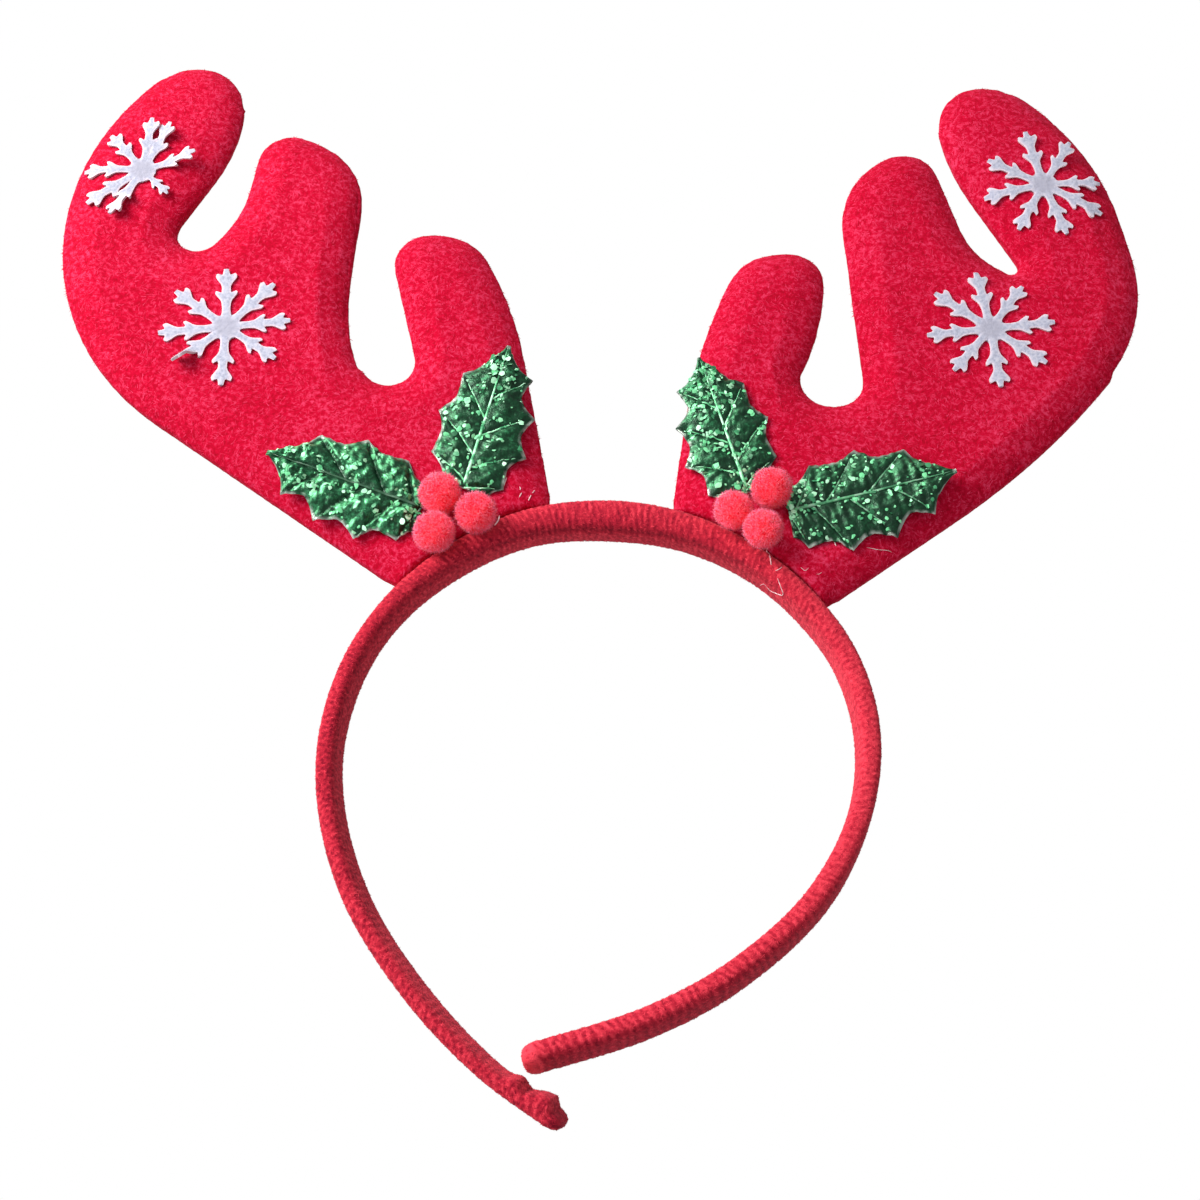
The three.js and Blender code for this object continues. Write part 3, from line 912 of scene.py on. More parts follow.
@dataclass(frozen=True)
class ThreadFinish:
    """Pale threads of glue and stray fibre."""

    tone: Colour = srgb(214, 160, 168)
    pale: Colour = srgb(228, 206, 206)
    stops: Span = (0.4, 0.62)
    blot: float = 0.0015

    def thread(self) -> Material:
        """Makes the threads."""
        sketch = Sketch("stray_thread")
        colour = sketch.ramp(sketch.noise(self.blot, detail=1.0), self.stops, (self.tone, self.pale))
        return sketch.surface(Base_Color=colour, Roughness=0.4, Specular_IOR_Level=0.5)


def settle(piece: Piece, material: Material, slot: Slot, *nodes: str) -> Piece:
    """Dresses a finished piece and fixes it to the headband.

    Args:
        piece: Finished piece.
        material: Its material.
        slot: Slot of the record that its finish stands for; not used.
        *nodes: Nodes of the frame that it stands for.

    Returns:
        The piece.
    """
    piece.data.materials.clear()
    piece.data.materials.append(material)
    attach(piece, ROOT)
    if nodes:
        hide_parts(*nodes)
    piece.data.calc_loop_triangles()
    LOG.info("%s: %d triangles", piece.name, len(piece.data.loop_triangles))
    return piece


class HoopRoute:
    """Centreline of the hoop, read by the distance from its left tip in millimetres."""

    STOPS = (
        (-7.6, -124.5), (-24.4, -111.8), (-39.8, -95.1), (-53.0, -74.4), (-59.7, -53.1), (-60.4, -34.9),
        (-55.4, -15.9), (-45.7, -0.6), (-32.0, 11.1), (-16.6, 18.6), (0.0, 20.6), (17.9, 18.1),
        (33.1, 10.9), (45.5, 0.2), (56.0, -15.8), (60.3, -34.9), (57.6, -54.6), (47.4, -74.4),
        (28.8, -91.7), (10.1, -102.0), (-16.6, -110.6),
    )
    # Samples of a stretch, how many of them a rough measure steps over, and the power that evens the spline.
    SAMPLES = 60
    ROUGH = 8
    EVENNESS = 0.5

    def __init__(self) -> None:
        """Samples the curve through the stops."""
        stops = np.array(self.STOPS)
        first = 2.0 * stops[:1] - stops[1:2]
        last = 2.0 * stops[-1:] - stops[-2:-1]
        knots = np.concatenate([first, stops, last])
        share = np.linspace(0.0, 1.0, self.SAMPLES, endpoint=False)[:, None]
        runs = [self._run(knots[index:index + 4], share) for index in range(len(stops) - 1)]
        self.points = np.concatenate([*runs, stops[-1:]])
        steps = np.linalg.norm(np.diff(self.points, axis=0), axis=1)
        self.along = np.concatenate([[0.0], np.cumsum(steps)])
        self.length = float(self.along[-1])
        self.ahead = unit(np.gradient(self.points, self.along, axis=0))

    @staticmethod
    def _run(knots: Array, share: Array) -> Array:
        """Samples one stretch of an even spline that passes through its stops.

        Args:
            knots: The stretch's two stops and one on either side.
            share: Places along the stretch from 0 to 1.

        Returns:
            Points along the stretch.
        """
        rises = np.diff(knots, axis=0)
        gap = [float(np.linalg.norm(rise)) ** HoopRoute.EVENNESS for rise in rises]
        step = [rises[index] / gap[index] for index in range(3)]
        start = (step[0] - (knots[2] - knots[0]) / (gap[0] + gap[1]) + step[1]) * gap[1]
        end = (step[1] - (knots[3] - knots[1]) / (gap[1] + gap[2]) + step[2]) * gap[1]
        square = 3.0 * rises[1] - 2.0 * start - end
        cube = start + end - 2.0 * rises[1]
        return knots[1] + start * share + square * share ** 2 + cube * share ** 3

    def station(self, along: Array) -> tuple[Array, Array]:
        """Reads the route.

        Args:
            along: Distances from the left tip.

        Returns:
            Points of the centreline and directions out of the hoop.
        """
        centre = np.stack([np.interp(along, self.along, self.points[:, axis]) for axis in range(2)], axis=1)
        ahead = np.stack([np.interp(along, self.along, self.ahead[:, axis]) for axis in range(2)], axis=1)
        ahead = unit(ahead)
        return centre, np.stack([-ahead[:, 1], ahead[:, 0]], axis=1)

    def distance(self, plan: Array) -> Array:
        """Measures how far plan points lie from the centreline."""
        coarse = self.points[::self.ROUGH]
        return np.sqrt(((plan[:, None, :] - coarse[None]) ** 2).sum(axis=2)).min(axis=1)


@dataclass
class PlushBand:
    """The open hoop, wrapped in ribbed plush, with sizes in millimetres."""

    route: HoopRoute
    square: float = 0.6
    row_step: float = 0.36
    columns: int = 36
    ease: int = 20
    rib_depth: float = 0.05
    lump: float = 1.0
    lump_depth: float = 0.03
    blot: float = 1.1
    crease_depth: float = 0.35
    calm: Span = (0.3, 2.4)
    pile: int = 44000
    pelt: Pelt = Pelt(length=(0.4, 0.9), width=(0.09, 0.16), rise=(0.05, 0.2), clear=0.02)
    finish: PlushFinish = PlushFinish()
    folds: tuple[Span, ...] = (
        (0.0, 0.0), (3.2, 0.3), (5.0, 2.3), (7.2, 1.8), (10.4, 0.1), (13.4, 1.4), (16.6, 0.1), (19.0, 0.0),
    )
    tip_round: tuple[Span, ...] = (
        (0.0, 0.0), (0.12, 0.36), (0.5, 0.68), (1.4, 0.9), (2.8, 1.0),
    )

    # Share of the hoop, inner face to outer face, back edge to front edge, and degrees that the front leans
    # outwards.
    FORM = np.array([
        (0.00, 3.3, 8.6, 33.0), (0.10, 3.8, 9.0, 32.0), (0.18, 4.5, 9.2, 23.5), (0.26, 4.5, 9.5, 13.0),
        (0.34, 4.6, 9.6, 8.0), (0.42, 6.5, 9.7, 1.0), (0.50, 8.4, 9.8, -3.0), (0.58, 6.4, 9.7, 0.0),
        (0.66, 5.3, 9.6, 6.0), (0.72, 5.0, 9.5, 8.5), (0.80, 5.4, 9.3, -2.0), (0.86, 5.0, 9.1, -7.5),
        (1.00, 5.2, 8.6, -8.0),
    ])
    # Share of the hoop, pitch of the ribs, how strong they are, how far the cloth is mottled, and how much
    # painted light lifts its shade, most on the right side where it faces the lamp.
    RIBS = np.array([
        (0.00, 2.05, 0.9, 1.9, 0.04), (0.20, 2.00, 0.7, 1.9, 0.04), (0.27, 1.80, 0.3, 1.7, 0.04),
        (0.36, 1.50, 0.4, 1.3, 0.04), (0.42, 1.45, 0.9, 1.0, 0.04), (0.58, 1.45, 0.9, 1.0, 0.06),
        (0.66, 1.60, 0.5, 0.9, 0.14), (0.78, 1.90, 0.6, 0.7, 0.16), (0.85, 2.05, 1.2, 0.7, 0.1),
        (1.00, 2.05, 1.2, 0.8, 0.08),
    ])
    # Sway of the ribs, size of a swell of it, its stretch along the hoop, and slant of the ribs.
    SWAY, SWAY_SIZE, SWAY_STRETCH, RIB_SLANT = 0.16, 1.6, 5.0, 0.3
    # Depth of the ribs on the inner and outer face against the edges, and points that measure a section.
    FACE_DEPTH, FINE = 0.4, 4001
    # Middle of the crease along the hoop, its half length, and its place on the inner face.
    CREASE_AT, CREASE_RUN, CREASE_LINE, CREASE_SIDE = 0.49, 58.0, (0.55, 0.1), -0.5
    # Stretches whose inner edge gets painted shade, and where painted shade starts on the right outer face.
    DARK_STRETCHES, DARK_RIGHT = ((0.29, 0.11), (0.5, 0.12)), (0.6, 0.7)
    # Stretches at the left tip and the right cap, in millimetres from each end.
    TIP_RUN, CAP_RUN = (1.0, 4.5), (-6.0, -1.5)
    # Shares outwards and upwards where inner face, front edge and outer face begin.
    INNER, FRONT, OUTER = (-0.6, 0.6), (0.3, 0.8), (0.45, 0.95)
    # Steps of painted shade of the stretches, the right side and the tip, and of painted light on the cap.
    STRETCH_TINT, RIGHT_TINT, TIP_TINT, CAP_TINT = -0.14, -0.2, -0.22, 0.3
    # Shade of the cloth, and how far ribs, blots, lumps and crease change it: painted shade in the grooves,
    # dips and crease, painted light on ribs and lumps, and mottling by the blots.
    TINT, RIB_TINT, BLOT_TINT, BLOT_MOST, LUMP_TINT, CREASE_TINT = 0.4, 0.11, 0.13, 0.5, 0.05, -0.25
    # Share of the cloth's shade in the pile, strength and size of its spots, and where it begins: height, and
    # upward share of the faces.
    PILE_SHADE, PILE_SPOTS, SPOT_SIZE, PILE_FROM, PILE_DOWN = 1.1, 0.16, 0.9, 0.6, -0.8
    SWAY_SEED, LUMP_SEED, BLOT_SEED, PILE_SEED, SPOT_SEED = 11, 21, 23, 31, 33

    def _squared(self, wave: Array) -> Array:
        """Flattens a wave towards a square one."""
        return np.sign(wave) * np.abs(wave) ** self.square

    def _angles(self) -> Array:
        """Spaces the corners of the section evenly round it."""
        fine = np.linspace(0.0, 2.0 * math.pi, self.FINE)
        thickness, width = self.FORM[:, 1:3].mean(axis=0)
        u = thickness * self._squared(np.cos(fine))
        w = width * self._squared(np.sin(fine))
        run = np.concatenate([[0.0], np.cumsum(np.hypot(np.diff(u), np.diff(w)))])
        return np.interp(np.linspace(0.0, run[-1], self.columns + 1), run, fine)

    def _stations(self) -> Array:
        """Spaces the sections along the hoop, close together at its tips."""
        tips = np.array([row[0] for row in self.tip_round])
        length = self.route.length
        middle = np.arange(tips[-1], length - tips[-1], self.row_step)[1:]
        return np.concatenate([tips, middle, length - tips[::-1]])

    def _read(self, table: Array, along: Array) -> Array:
        """Reads a table along the hoop and eases the bends between its rows.

        Args:
            table: Rows that start with a share of the hoop.
            along: Distances from the left tip.

        Returns:
            The other columns at each distance.
        """
        share = along / self.route.length
        plain = np.stack([np.interp(share, table[:, 0], column) for column in table[:, 1:].T], axis=1)
        window = np.hanning(2 * self.ease + 3)[1:-1]
        padded = np.pad(plain, ((self.ease, self.ease), (0, 0)), mode="edge")
        eased = [np.convolve(column, window / window.sum(), mode="valid") for column in padded.T]
        return np.stack(eased, axis=1)

    def _form(self, along: Array, angles: Array) -> tuple[Array, Array, Array]:
        """Shapes the plain wrapped band.

        Args:
            along: Distances of the sections from the left tip.
            angles: Angles of the corners round a section.

        Returns:
            Layout points by row and column, and each corner's share outwards and upwards.
        """
        centre, outward = self.route.station(along)
        thickness, width, lean = self._read(self.FORM, along).T
        from_end = np.minimum(along, self.route.length - along)
        folds = np.array(self.folds)
        fold = np.interp(along, folds[:, 0], folds[:, 1])
        tips = np.array(self.tip_round)
        share = np.interp(from_end, tips[:, 0], tips[:, 1])
        unit_u = self._squared(np.cos(angles))
        unit_w = self._squared(np.sin(angles))
        half = thickness[:, None] / 2.0
        inner = half + fold[:, None]
        u = np.where(unit_u[None] > 0.0, unit_u[None] * half, unit_u[None] * inner)
        w = unit_w[None] * width[:, None] / 2.0
        cos = np.cos(np.radians(lean))[:, None]
        sin = np.sin(np.radians(lean))[:, None]
        u, w = u * cos + w * sin, w * cos - u * sin
        lowest = w.min(axis=1, keepdims=True)
        points = np.empty((*u.shape, 3))
        points[..., :2] = centre[:, None] + outward[:, None] * (u * share[:, None])[..., None]
        points[..., 2] = w * share[:, None] - lowest
        return points, np.broadcast_to(unit_u, u.shape), np.broadcast_to(unit_w, u.shape)

    def _ribs(self, along: Array, pitch: Array, out: Array, up: Array) -> Array:
        """Gives the height of the ribs from -1 in a groove to 1 on a rib.

        Args:
            along: Distances of the sections from the left tip.
            pitch: Distance between ribs at each section.
            out: Share outwards of each corner.
            up: Share upwards of each corner.

        Returns:
            Heights by row and column.
        """
        turns = np.concatenate([[0.0], np.cumsum(np.diff(along) / pitch[1:])])
        stretched = np.repeat(along, out.shape[1]) / self.SWAY_STRETCH
        place = np.stack([stretched, out.ravel(), up.ravel()], axis=1)
        sway = self.SWAY * ripple(place, self.SWAY_SIZE, self.SWAY_SEED).reshape(out.shape)
        return np.cos(2.0 * math.pi * (turns[:, None] + self.RIB_SLANT * out + sway))

    def _painted_shading(self, along: Array, out: Array, up: Array) -> Array:
        """Gives how much lighter or darker each face of the hoop is painted, as painted light and shade.

        Args:
            along: Distances of the sections from the left tip.
            out: Share outwards of each corner.
            up: Share upwards of each corner.

        Returns:
            Steps of shade by row and column.
        """
        share = (along / self.route.length)[:, None]
        inner_front = (1.0 - smoothstep(out, *self.INNER)) * smoothstep(up, *self.FRONT)
        right = smoothstep(share, *self.DARK_RIGHT) * smoothstep(out, *self.OUTER)
        tip = 1.0 - smoothstep(along[:, None], *self.TIP_RUN)
        cap = smoothstep(along[:, None] - self.route.length, *self.CAP_RUN)
        stretches = sum(bell(share, *stretch) for stretch in self.DARK_STRETCHES)
        step = self.STRETCH_TINT * stretches * inner_front + self.RIGHT_TINT * right * (1.0 - cap)
        return step + self.TIP_TINT * tip + self.CAP_TINT * cap

    @staticmethod
    def _outward(form: Array) -> Array:
        """Gives the directions out of the band.

        Args:
            form: Layout points by row and column.

        Returns:
            Unit directions by row and column.
        """
        around = np.roll(form[:, :-1], -1, axis=1) - np.roll(form[:, :-1], 1, axis=1)
        around = np.concatenate([around, around[:, :1]], axis=1)
        normal = unit(np.cross(around, np.gradient(form, axis=0)))
        from_middle = form - form.mean(axis=1, keepdims=True)
        return normal * np.sign((from_middle * normal).sum(axis=2).mean())

    def build(self) -> Piece:
        """Makes the wrapped band.

        Returns:
            The band.
        """
        along = self._stations()
        piece, row, column = Bench.grid("hoop_plush", len(along) - 1, self.columns)
        rows = np.rint(row * (len(along) - 1)).astype(int)
        columns = np.rint(column * self.columns).astype(int)
        form, out, up = self._form(along, self._angles())
        pitch, strength, mottled, lift = self._read(self.RIBS, along).T
        ribs = self._ribs(along, pitch, out, up) * strength[:, None]
        corners = form.reshape(-1, 3)
        lumps = ripple(corners, self.lump, self.LUMP_SEED).reshape(out.shape)
        blots = ripple(corners, self.blot, self.BLOT_SEED).reshape(out.shape) * mottled[:, None]
        calm = smoothstep(np.minimum(along, self.route.length - along), *self.calm)[:, None]
        crown = bell(along, self.CREASE_AT * self.route.length, self.CREASE_RUN)[:, None]
        crease = bell(up, *self.CREASE_LINE) * (out < self.CREASE_SIDE) * crown
        depth = self.rib_depth * (self.FACE_DEPTH + (1.0 - self.FACE_DEPTH) * np.abs(up))
        swell = calm * (depth * ribs + self.lump_depth * lumps - self.crease_depth * crease)
        points = form + self._outward(form) * swell[..., None]
        points[..., 2] = np.maximum(points[..., 2], 0.0)
        Bench.place(piece, to_part(points[rows, columns]))
        # Painted shade in the grooves, dips and crease and painted light on ribs and lumps; the blots mottle
        # the cloth, and the lift read from the table is painted light.
        tint = self.TINT + self.RIB_TINT * ribs + self.BLOT_TINT * np.minimum(blots, self.BLOT_MOST)
        tint += self.LUMP_TINT * lumps + self.CREASE_TINT * crease + lift[:, None]
        # Painted shade and light on the faces of the hoop.
        tint += self._painted_shading(along, out, up)
        Bench.mark(piece, "tint", np.clip(tint, 0.0, 1.0)[rows, columns])
        Bench.merge(piece)
        Bench.smooth(piece)
        return settle(piece, self.finish.cloth(), Slot.BAND, "hoop_band")

    def dress(self, band: Piece) -> Piece:
        """Lays short pile on the band.

        Args:
            band: The wrapped band.

        Returns:
            The pile.
        """
        rng = np.random.default_rng(self.PILE_SEED)
        roots, ways, shade = Bench.scatter(band, self.pile, rng)
        shown = (roots[:, 2] > self.PILE_FROM * MM) & (ways[:, 2] > self.PILE_DOWN)
        roots, ways, shade = roots[shown], ways[shown], shade[shown]
        spots = ripple(roots / MM, self.SPOT_SIZE, self.SPOT_SEED)
        # The pile takes on the cloth's tint, with its painted light and shade.
        tint = self.PILE_SHADE * shade + self.PILE_SPOTS * spots
        full = np.ones((len(roots), 1))
        pile = self.pelt.lay("hoop_pile", roots, ways, np.zeros_like(ways), full, tint, rng)
        return settle(pile, self.finish.pile(), Slot.BAND)


@dataclass
class FeltAntler:
    """A stuffed felt antler with a short swirled nap, with sizes in millimetres."""

    node: str
    route: HoopRoute
    seed: int
    shrink: float = 0.3
    voxel: float = 1.6
    pressure: float = 3.0
    frames: int = 16
    cap: float = 0.6
    top: float = 9.12
    edge_round: float = 5.6
    soft_round: float = 8.5
    seam_depth: float = 0.25
    fullness: float = 0.7
    outer: float = 0.4
    lump: float = 1.6
    lump_depth: float = 0.1
    swirl: float = 5.0
    spot: float = 0.9
    nap: int = 31000
    pelt: Pelt = Pelt(length=(0.7, 1.6), width=(0.1, 0.2), rise=(0.03, 0.09), clear=0.04, astray=0.6)
    finish: FeltFinish = FeltFinish()

    # Distances from the hoop where felt gets free for stuffing and for sewing, and where seam and nap begin.
    STUFF_FREE, SEW_FREE, SEAM_CLEAR, NAP_CLEAR = (3.4, 7.0), (4.0, 8.0), 5.5, 4.2
    # Upward share of the felt's faces: on a side, between side and face, and where the nap gets long.
    SIDE_TILT, EDGE_TILT, NAP_TILT = 0.35, (0.35, 0.9), (0.25, 0.75)
    # Half heights of the strip that holds the seam and of its groove, and least share of the edge's radius.
    SEAM_STRIP, SEAM_HALF, LEAST_INSET = 1.0, 0.55, 0.02
    # Share of the nap's length on the sides, shade of the nap and strength of its spots.
    SIDE_NAP, NAP_TINT, NAP_SPOTS = 0.15, 0.42, 0.24
    # Where the nap begins: height, and upward share of the faces.
    NAP_FROM, NAP_DOWN = 0.9, -0.35

    def build(self, nodes: dict[str, Piece]) -> Piece:
        """Makes the stuffed antler.

        Args:
            nodes: Nodes of the frame by name.

        Returns:
            The antler.
        """
        piece = Bench.copy_node(nodes[self.node], self.node.replace("antler", "stuffed_antler"))
        Bench.pick(piece)
        piece.data.remesh_voxel_size = self.voxel * MM
        bpy.ops.object.voxel_remesh()
        Bench.apply(piece, "SMOOTH", factor=0.5, iterations=3)
        before = Bench.points(piece)
        free = smoothstep(self.route.distance(to_layout(before)[:, :2]), *self.STUFF_FREE)[:, None]
        Bench.place(piece, before - Bench.normals(piece) * free * self.shrink * MM)
        self._stuff(piece)
        moved = Bench.points(piece) - before
        reach = np.linalg.norm(moved, axis=1, keepdims=True)
        moved *= np.minimum(1.0, self.cap * MM / np.maximum(reach, 1e-12)) * free
        Bench.place(piece, before + moved)
        Bench.apply(piece, "SUBSURF", levels=1, render_levels=1)
        self._round(piece)
        self._sew(piece)
        Bench.rumple(piece, self.lump * MM, self.lump_depth * MM)
        points = Bench.points(piece)
        points[:, 2] = np.clip(points[:, 2], 0.0, self.top * MM)
        Bench.place(piece, points)
        Bench.smooth(piece)
        settle(piece, self.finish.cloth(), Slot.FELT, self.node)
        return piece

    def _stuff(self, piece: Piece) -> None:
        """Presses the felt outwards with its stuffing.

        Args:
            piece: Antler to stuff.
        """
        Bench.pick(piece)
        cloth = piece.modifiers.new("Stuffing", "CLOTH")
        cloth.settings.use_pressure = True
        cloth.settings.uniform_pressure_force = self.pressure
        cloth.settings.effector_weights.gravity = 0.0
        cloth.settings.quality = 4
        cloth.collision_settings.use_collision = False
        cloth.point_cache.frame_start = 1
        cloth.point_cache.frame_end = self.frames
        for frame in range(1, self.frames + 1):
            bpy.context.scene.frame_set(frame)
        bpy.ops.object.modifier_apply(modifier=cloth.name)
        bpy.context.scene.frame_set(1)

    def _round(self, piece: Piece) -> None:
        """Rounds the face down towards the seam in a wider, softer curve.

        Args:
            piece: Antler to round.
        """
        plan = to_layout(Bench.points(piece))
        outward = Bench.normals(piece)
        rise = plan[:, 2] - FELT_TOP / 2.0
        side = (np.abs(outward[:, 2]) < self.SIDE_TILT) & (np.abs(rise) < self.SEAM_STRIP)
        seam = plan[side & (self.route.distance(plan[:, :2]) > self.SEAM_CLEAR), :2]
        tree = KDTree(len(seam))
        for index, (x, y) in enumerate(seam):
            tree.insert((x, y, 0.0), index)
        tree.balance()
        inset = np.array([tree.find((x, y, 0.0))[2] for x, y, _ in plan])
        lower = np.minimum(self._arc(inset, self.soft_round) / self._arc(inset, self.edge_round), 1.0)
        plan[:, 2] = FELT_TOP / 2.0 + np.where(rise > 0.0, rise * lower, rise)
        Bench.place(piece, to_part(plan))

    def _arc(self, inset: Array, radius: float) -> Array:
        """Gives the height of a round edge, as a share of its radius, at distances from the seam."""
        return np.sqrt(1.0 - (1.0 - np.clip(inset / radius, self.LEAST_INSET, 1.0)) ** 2)

    def _sew(self, piece: Piece) -> None:
        """Fills out the edge and draws in the seam that runs round it between the two sheets of felt.

        Args:
            piece: Antler to sew.
        """
        points = Bench.points(piece)
        outward = Bench.normals(piece)
        free = smoothstep(self.route.distance(to_layout(points)[:, :2]), *self.SEW_FREE)
        edge = (1.0 - smoothstep(np.abs(outward[:, 2]), *self.EDGE_TILT)) * free
        groove = bell(points[:, 2] / MM, FELT_TOP / 2.0, self.SEAM_HALF)
        outward[:, 2] = 0.0
        from_middle = points - points.mean(axis=0)
        from_middle[:, 2] = 0.0
        full = self.fullness + self.outer * (unit(from_middle) * outward).sum(axis=1)
        swell = edge * (full - self.seam_depth * groove)
        Bench.place(piece, points + outward * swell[:, None] * MM)

    def dress(self, antler: Piece) -> Piece:
        """Lays the nap on the felt.

        Args:
            antler: The stuffed antler.

        Returns:
            The nap.
        """
        rng = np.random.default_rng(self.seed)
        roots, ways, _ = Bench.scatter(antler, 2 * self.nap, rng)
        plan = to_layout(roots)
        clear = self.route.distance(plan[:, :2]) > self.NAP_CLEAR
        shown = (plan[:, 2] > self.NAP_FROM) & (ways[:, 2] > self.NAP_DOWN) & clear
        roots, ways, plan = (values[shown][:self.nap] for values in (roots, ways, plan))
        drift = np.stack([ripple(plan, self.swirl, self.seed + axis) for axis in (1, 2, 3)], axis=1)
        full = self.SIDE_NAP + (1.0 - self.SIDE_NAP) * smoothstep(ways[:, 2:], *self.NAP_TILT)
        tint = self.NAP_TINT + self.NAP_SPOTS * ripple(plan, self.spot, self.seed + 7)
        name = antler.name.replace("stuffed", "nap")
        nap = self.pelt.lay(name, roots, ways, drift, full, tint, rng)
        return settle(nap, self.finish.nap(), Slot.FELT)


class FeltFloor:
    """Upper face of soft pieces, on which the trim lies."""

    # Height in metres from which the face is looked for.
    ABOVE = 0.05

    def __init__(self, pieces: Sequence[Piece]) -> None:
        """Reads the faces of the soft pieces."""
        depsgraph = bpy.context.evaluated_depsgraph_get()
        self.trees = [BVHTree.FromObject(piece, depsgraph) for piece in pieces]

    def height(self, points: Array, least: float) -> Array:
        """Measures the height of the face.

        Args:
            points: Points above or below the face, in metres.
            least: Least height in millimetres, also used beside the pieces.

        Returns:
            The height at each point in metres.
        """
        heights = np.full(len(points), least * MM)
        down = Vector((0.0, 0.0, -1.0))
        for index, point in enumerate(points):
            for tree in self.trees:
                hit = tree.ray_cast(Vector((point[0], point[1], self.ABOVE)), down)[0]
                if hit is not None:
                    heights[index] = max(heights[index], hit.z)
        return heights

    def seen(self, eye: Array, points: Array) -> Array:
        """Finds where lines of sight meet the pieces.

        Args:
            eye: Where the viewer is, in metres.
            points: Points on the lines of sight, kept where a line meets nothing.

        Returns:
            The points met, in metres.
        """
        met = points.copy()
        for index, point in enumerate(points):
            way = Vector(point - eye).normalized()
            hits = [tree.ray_cast(Vector(eye), way) for tree in self.trees]
            near = min((hit for hit in hits if hit[0] is not None), key=lambda hit: hit[3], default=None)
            if near is not None:
                met[index] = near[0]
        return met

    def drop(self, points: Array, most: float) -> Array:
        """Measures in metres how far the felt lies under its flat face, up to a number of millimetres."""
        return np.maximum(FELT_TOP * MM - self.height(points, FELT_TOP - most), 0.0)


@dataclass
class HollyLeaf:
    """An embossed holly leaf of glitter cloth with pressed veins and loose glitter."""

    node: str
    x: float
    y: float
    heading: float
    long: float
    spread: float
    broad: int
    lift: float
    light: float
    glitter: int
    seed: int
    puff: float = 1.0
    wrinkle: float = 0.13
    narrow: float = 1.0
    # Share of bright foil on the pressed lines, partly painted highlight.
    foil_glint: float = 1.0
    strewn: Span = (0.0, 0.0)
    # Strength of the painted highlight on slopes that face the lamp.
    painted_gleam: float = 0.3
    thickness: float = 1.1
    cloth: float = 0.42
    length: float = 38.8
    rows_each: int = 11
    columns: int = 44
    finish: GlitterFinish = GlitterFinish()

    # Rows from base to tip: midrib, then along and out for the broad edge and for the narrow edge.
    ROWS = np.array([
        (-0.8, -1.2, 6.6, -0.6, 3.8),
        (1.0, 1.4, 10.2, 1.4, 5.6),
        (4.6, 6.2, 9.6, 6.8, 10.0),
        (7.8, 10.6, 13.4, 12.2, 9.2),
        (13.0, 15.7, 10.4, 17.6, 11.4),
        (17.4, 21.0, 12.4, 22.4, 8.2),
        (22.6, 25.4, 7.4, 28.2, 8.6),
        (27.4, 30.4, 8.9, 30.9, 4.8),
        (31.4, 32.5, 4.5, 33.4, 3.3),
        (37.4, 37.4, 0.6, 37.4, 0.6),
    ])
    # Rows where the veins of each half meet the edge, and how many rows lower they start from the midrib.
    VEINS = {LeafHalf.BROAD: (1.0, 3.0, 5.0, 7.0), LeafHalf.NARROW: (2.0, 4.0, 6.0)}
    SLANT = 1.0
    # Side that the lamp shines from, for the painted highlight, and how far a slope has to face it.
    BRIGHT_SIDE, BRIGHT_FROM = (-0.64, 0.48, 0.6), (0.6, 0.88)
    # Powers of the hollows between spines and of a panel along and across, and rows where panels end.
    HOLLOW, PANEL_ALONG, PANEL_ACROSS, PANEL_ENDS = 1.55, 0.55, 0.6, (-0.6, 9.4)
    # Share of a panel's arch that is cut off at the midrib and at the edge.
    PANEL_MARGIN = 0.06
    # Rows where panels grow at the base and sink at the tip, and how far they sink.
    BASE_RUN, TIP_RUN, TIP_SINK = (-0.2, 1.2), (6.8, 9.0), 0.55
    # Thickness at the edge and added in the middle, in shares.
    EDGE_THICK, MIDDLE_THICK = 0.35, 0.55
    # Sizes of creases and fine ones, stretch of the creases across the leaf, strength of the fine ones, and
    # calm beside the midrib.
    CREASE, FINE_CREASE, CREASE_STRETCH, FINE_SHARE, CALM, CALM_HALF = 2.6, 1.2, 0.55, 0.45, 0.7, 0.1
    # How near the midrib and a vein cloth is pressed, and how dark its painted shade beside the lines is.
    RIB_NEAR, VEIN_NEAR, PRESSED = (0.08, 0.2), (0.1, 0.32), 0.75
    # Where the pale rim begins, across the leaf and from its ends.
    RIM_ACROSS, RIM_ENDS = (0.93, 1.0), (0.02, 0.14)
    # Middle and swing of an uneven strength, and size of its patches, for the painted highlight and for the
    # rim.
    GLEAM_PATCH, RIM_PATCH = (0.7, 0.45, 1.4), (0.6, 0.5, 2.6)
    # Share of the felt's drop that the leaf follows, and the most drop in millimetres.
    FOLLOW, MOST_DROP = 0.3, 2.0
    # Half widths of midrib and vein, their height over the leaf and their sides.
    MIDRIB, VEIN, VEIN_LIFT, VEIN_SIDES = 0.46, 0.3, 0.14, 6
    # How far a line thins along its length and at both ends, and its height against its width.
    TAPER, BLUNT, VEIN_FLAT = 0.75, 0.3, 0.6
    # Rows of the midrib and its place across, places across of a vein, its least row, and points of a line.
    RIB_ROWS, RIB_ACROSS, VEIN_ACROSS, VEIN_FROM, LINE_POINTS = (0.5, 8.8), 0.001, (0.02, 0.86), 0.1, 26
    # Distance so small that no corners of the lines merge when their faces are turned outwards.
    APART = 1e-9
    # Radii of the glints in millimetres, and how common each is.
    GLINTS, GLINT_ODDS = (0.25, 0.38, 0.52, 0.68, 0.84), (0.2, 0.24, 0.26, 0.18, 0.12)
    # Sides of a glint, its height, depth and tilt, its width against its length, and its uneven outline.
    GLINT_SIDES, GLINT_TOP, GLINT_FOOT, GLINT_TILT = 8, 0.07, 0.16, 0.22
    GLINT_WIDE, GLINT_EDGE = (0.6, 1.0), (0.72, 1.22)
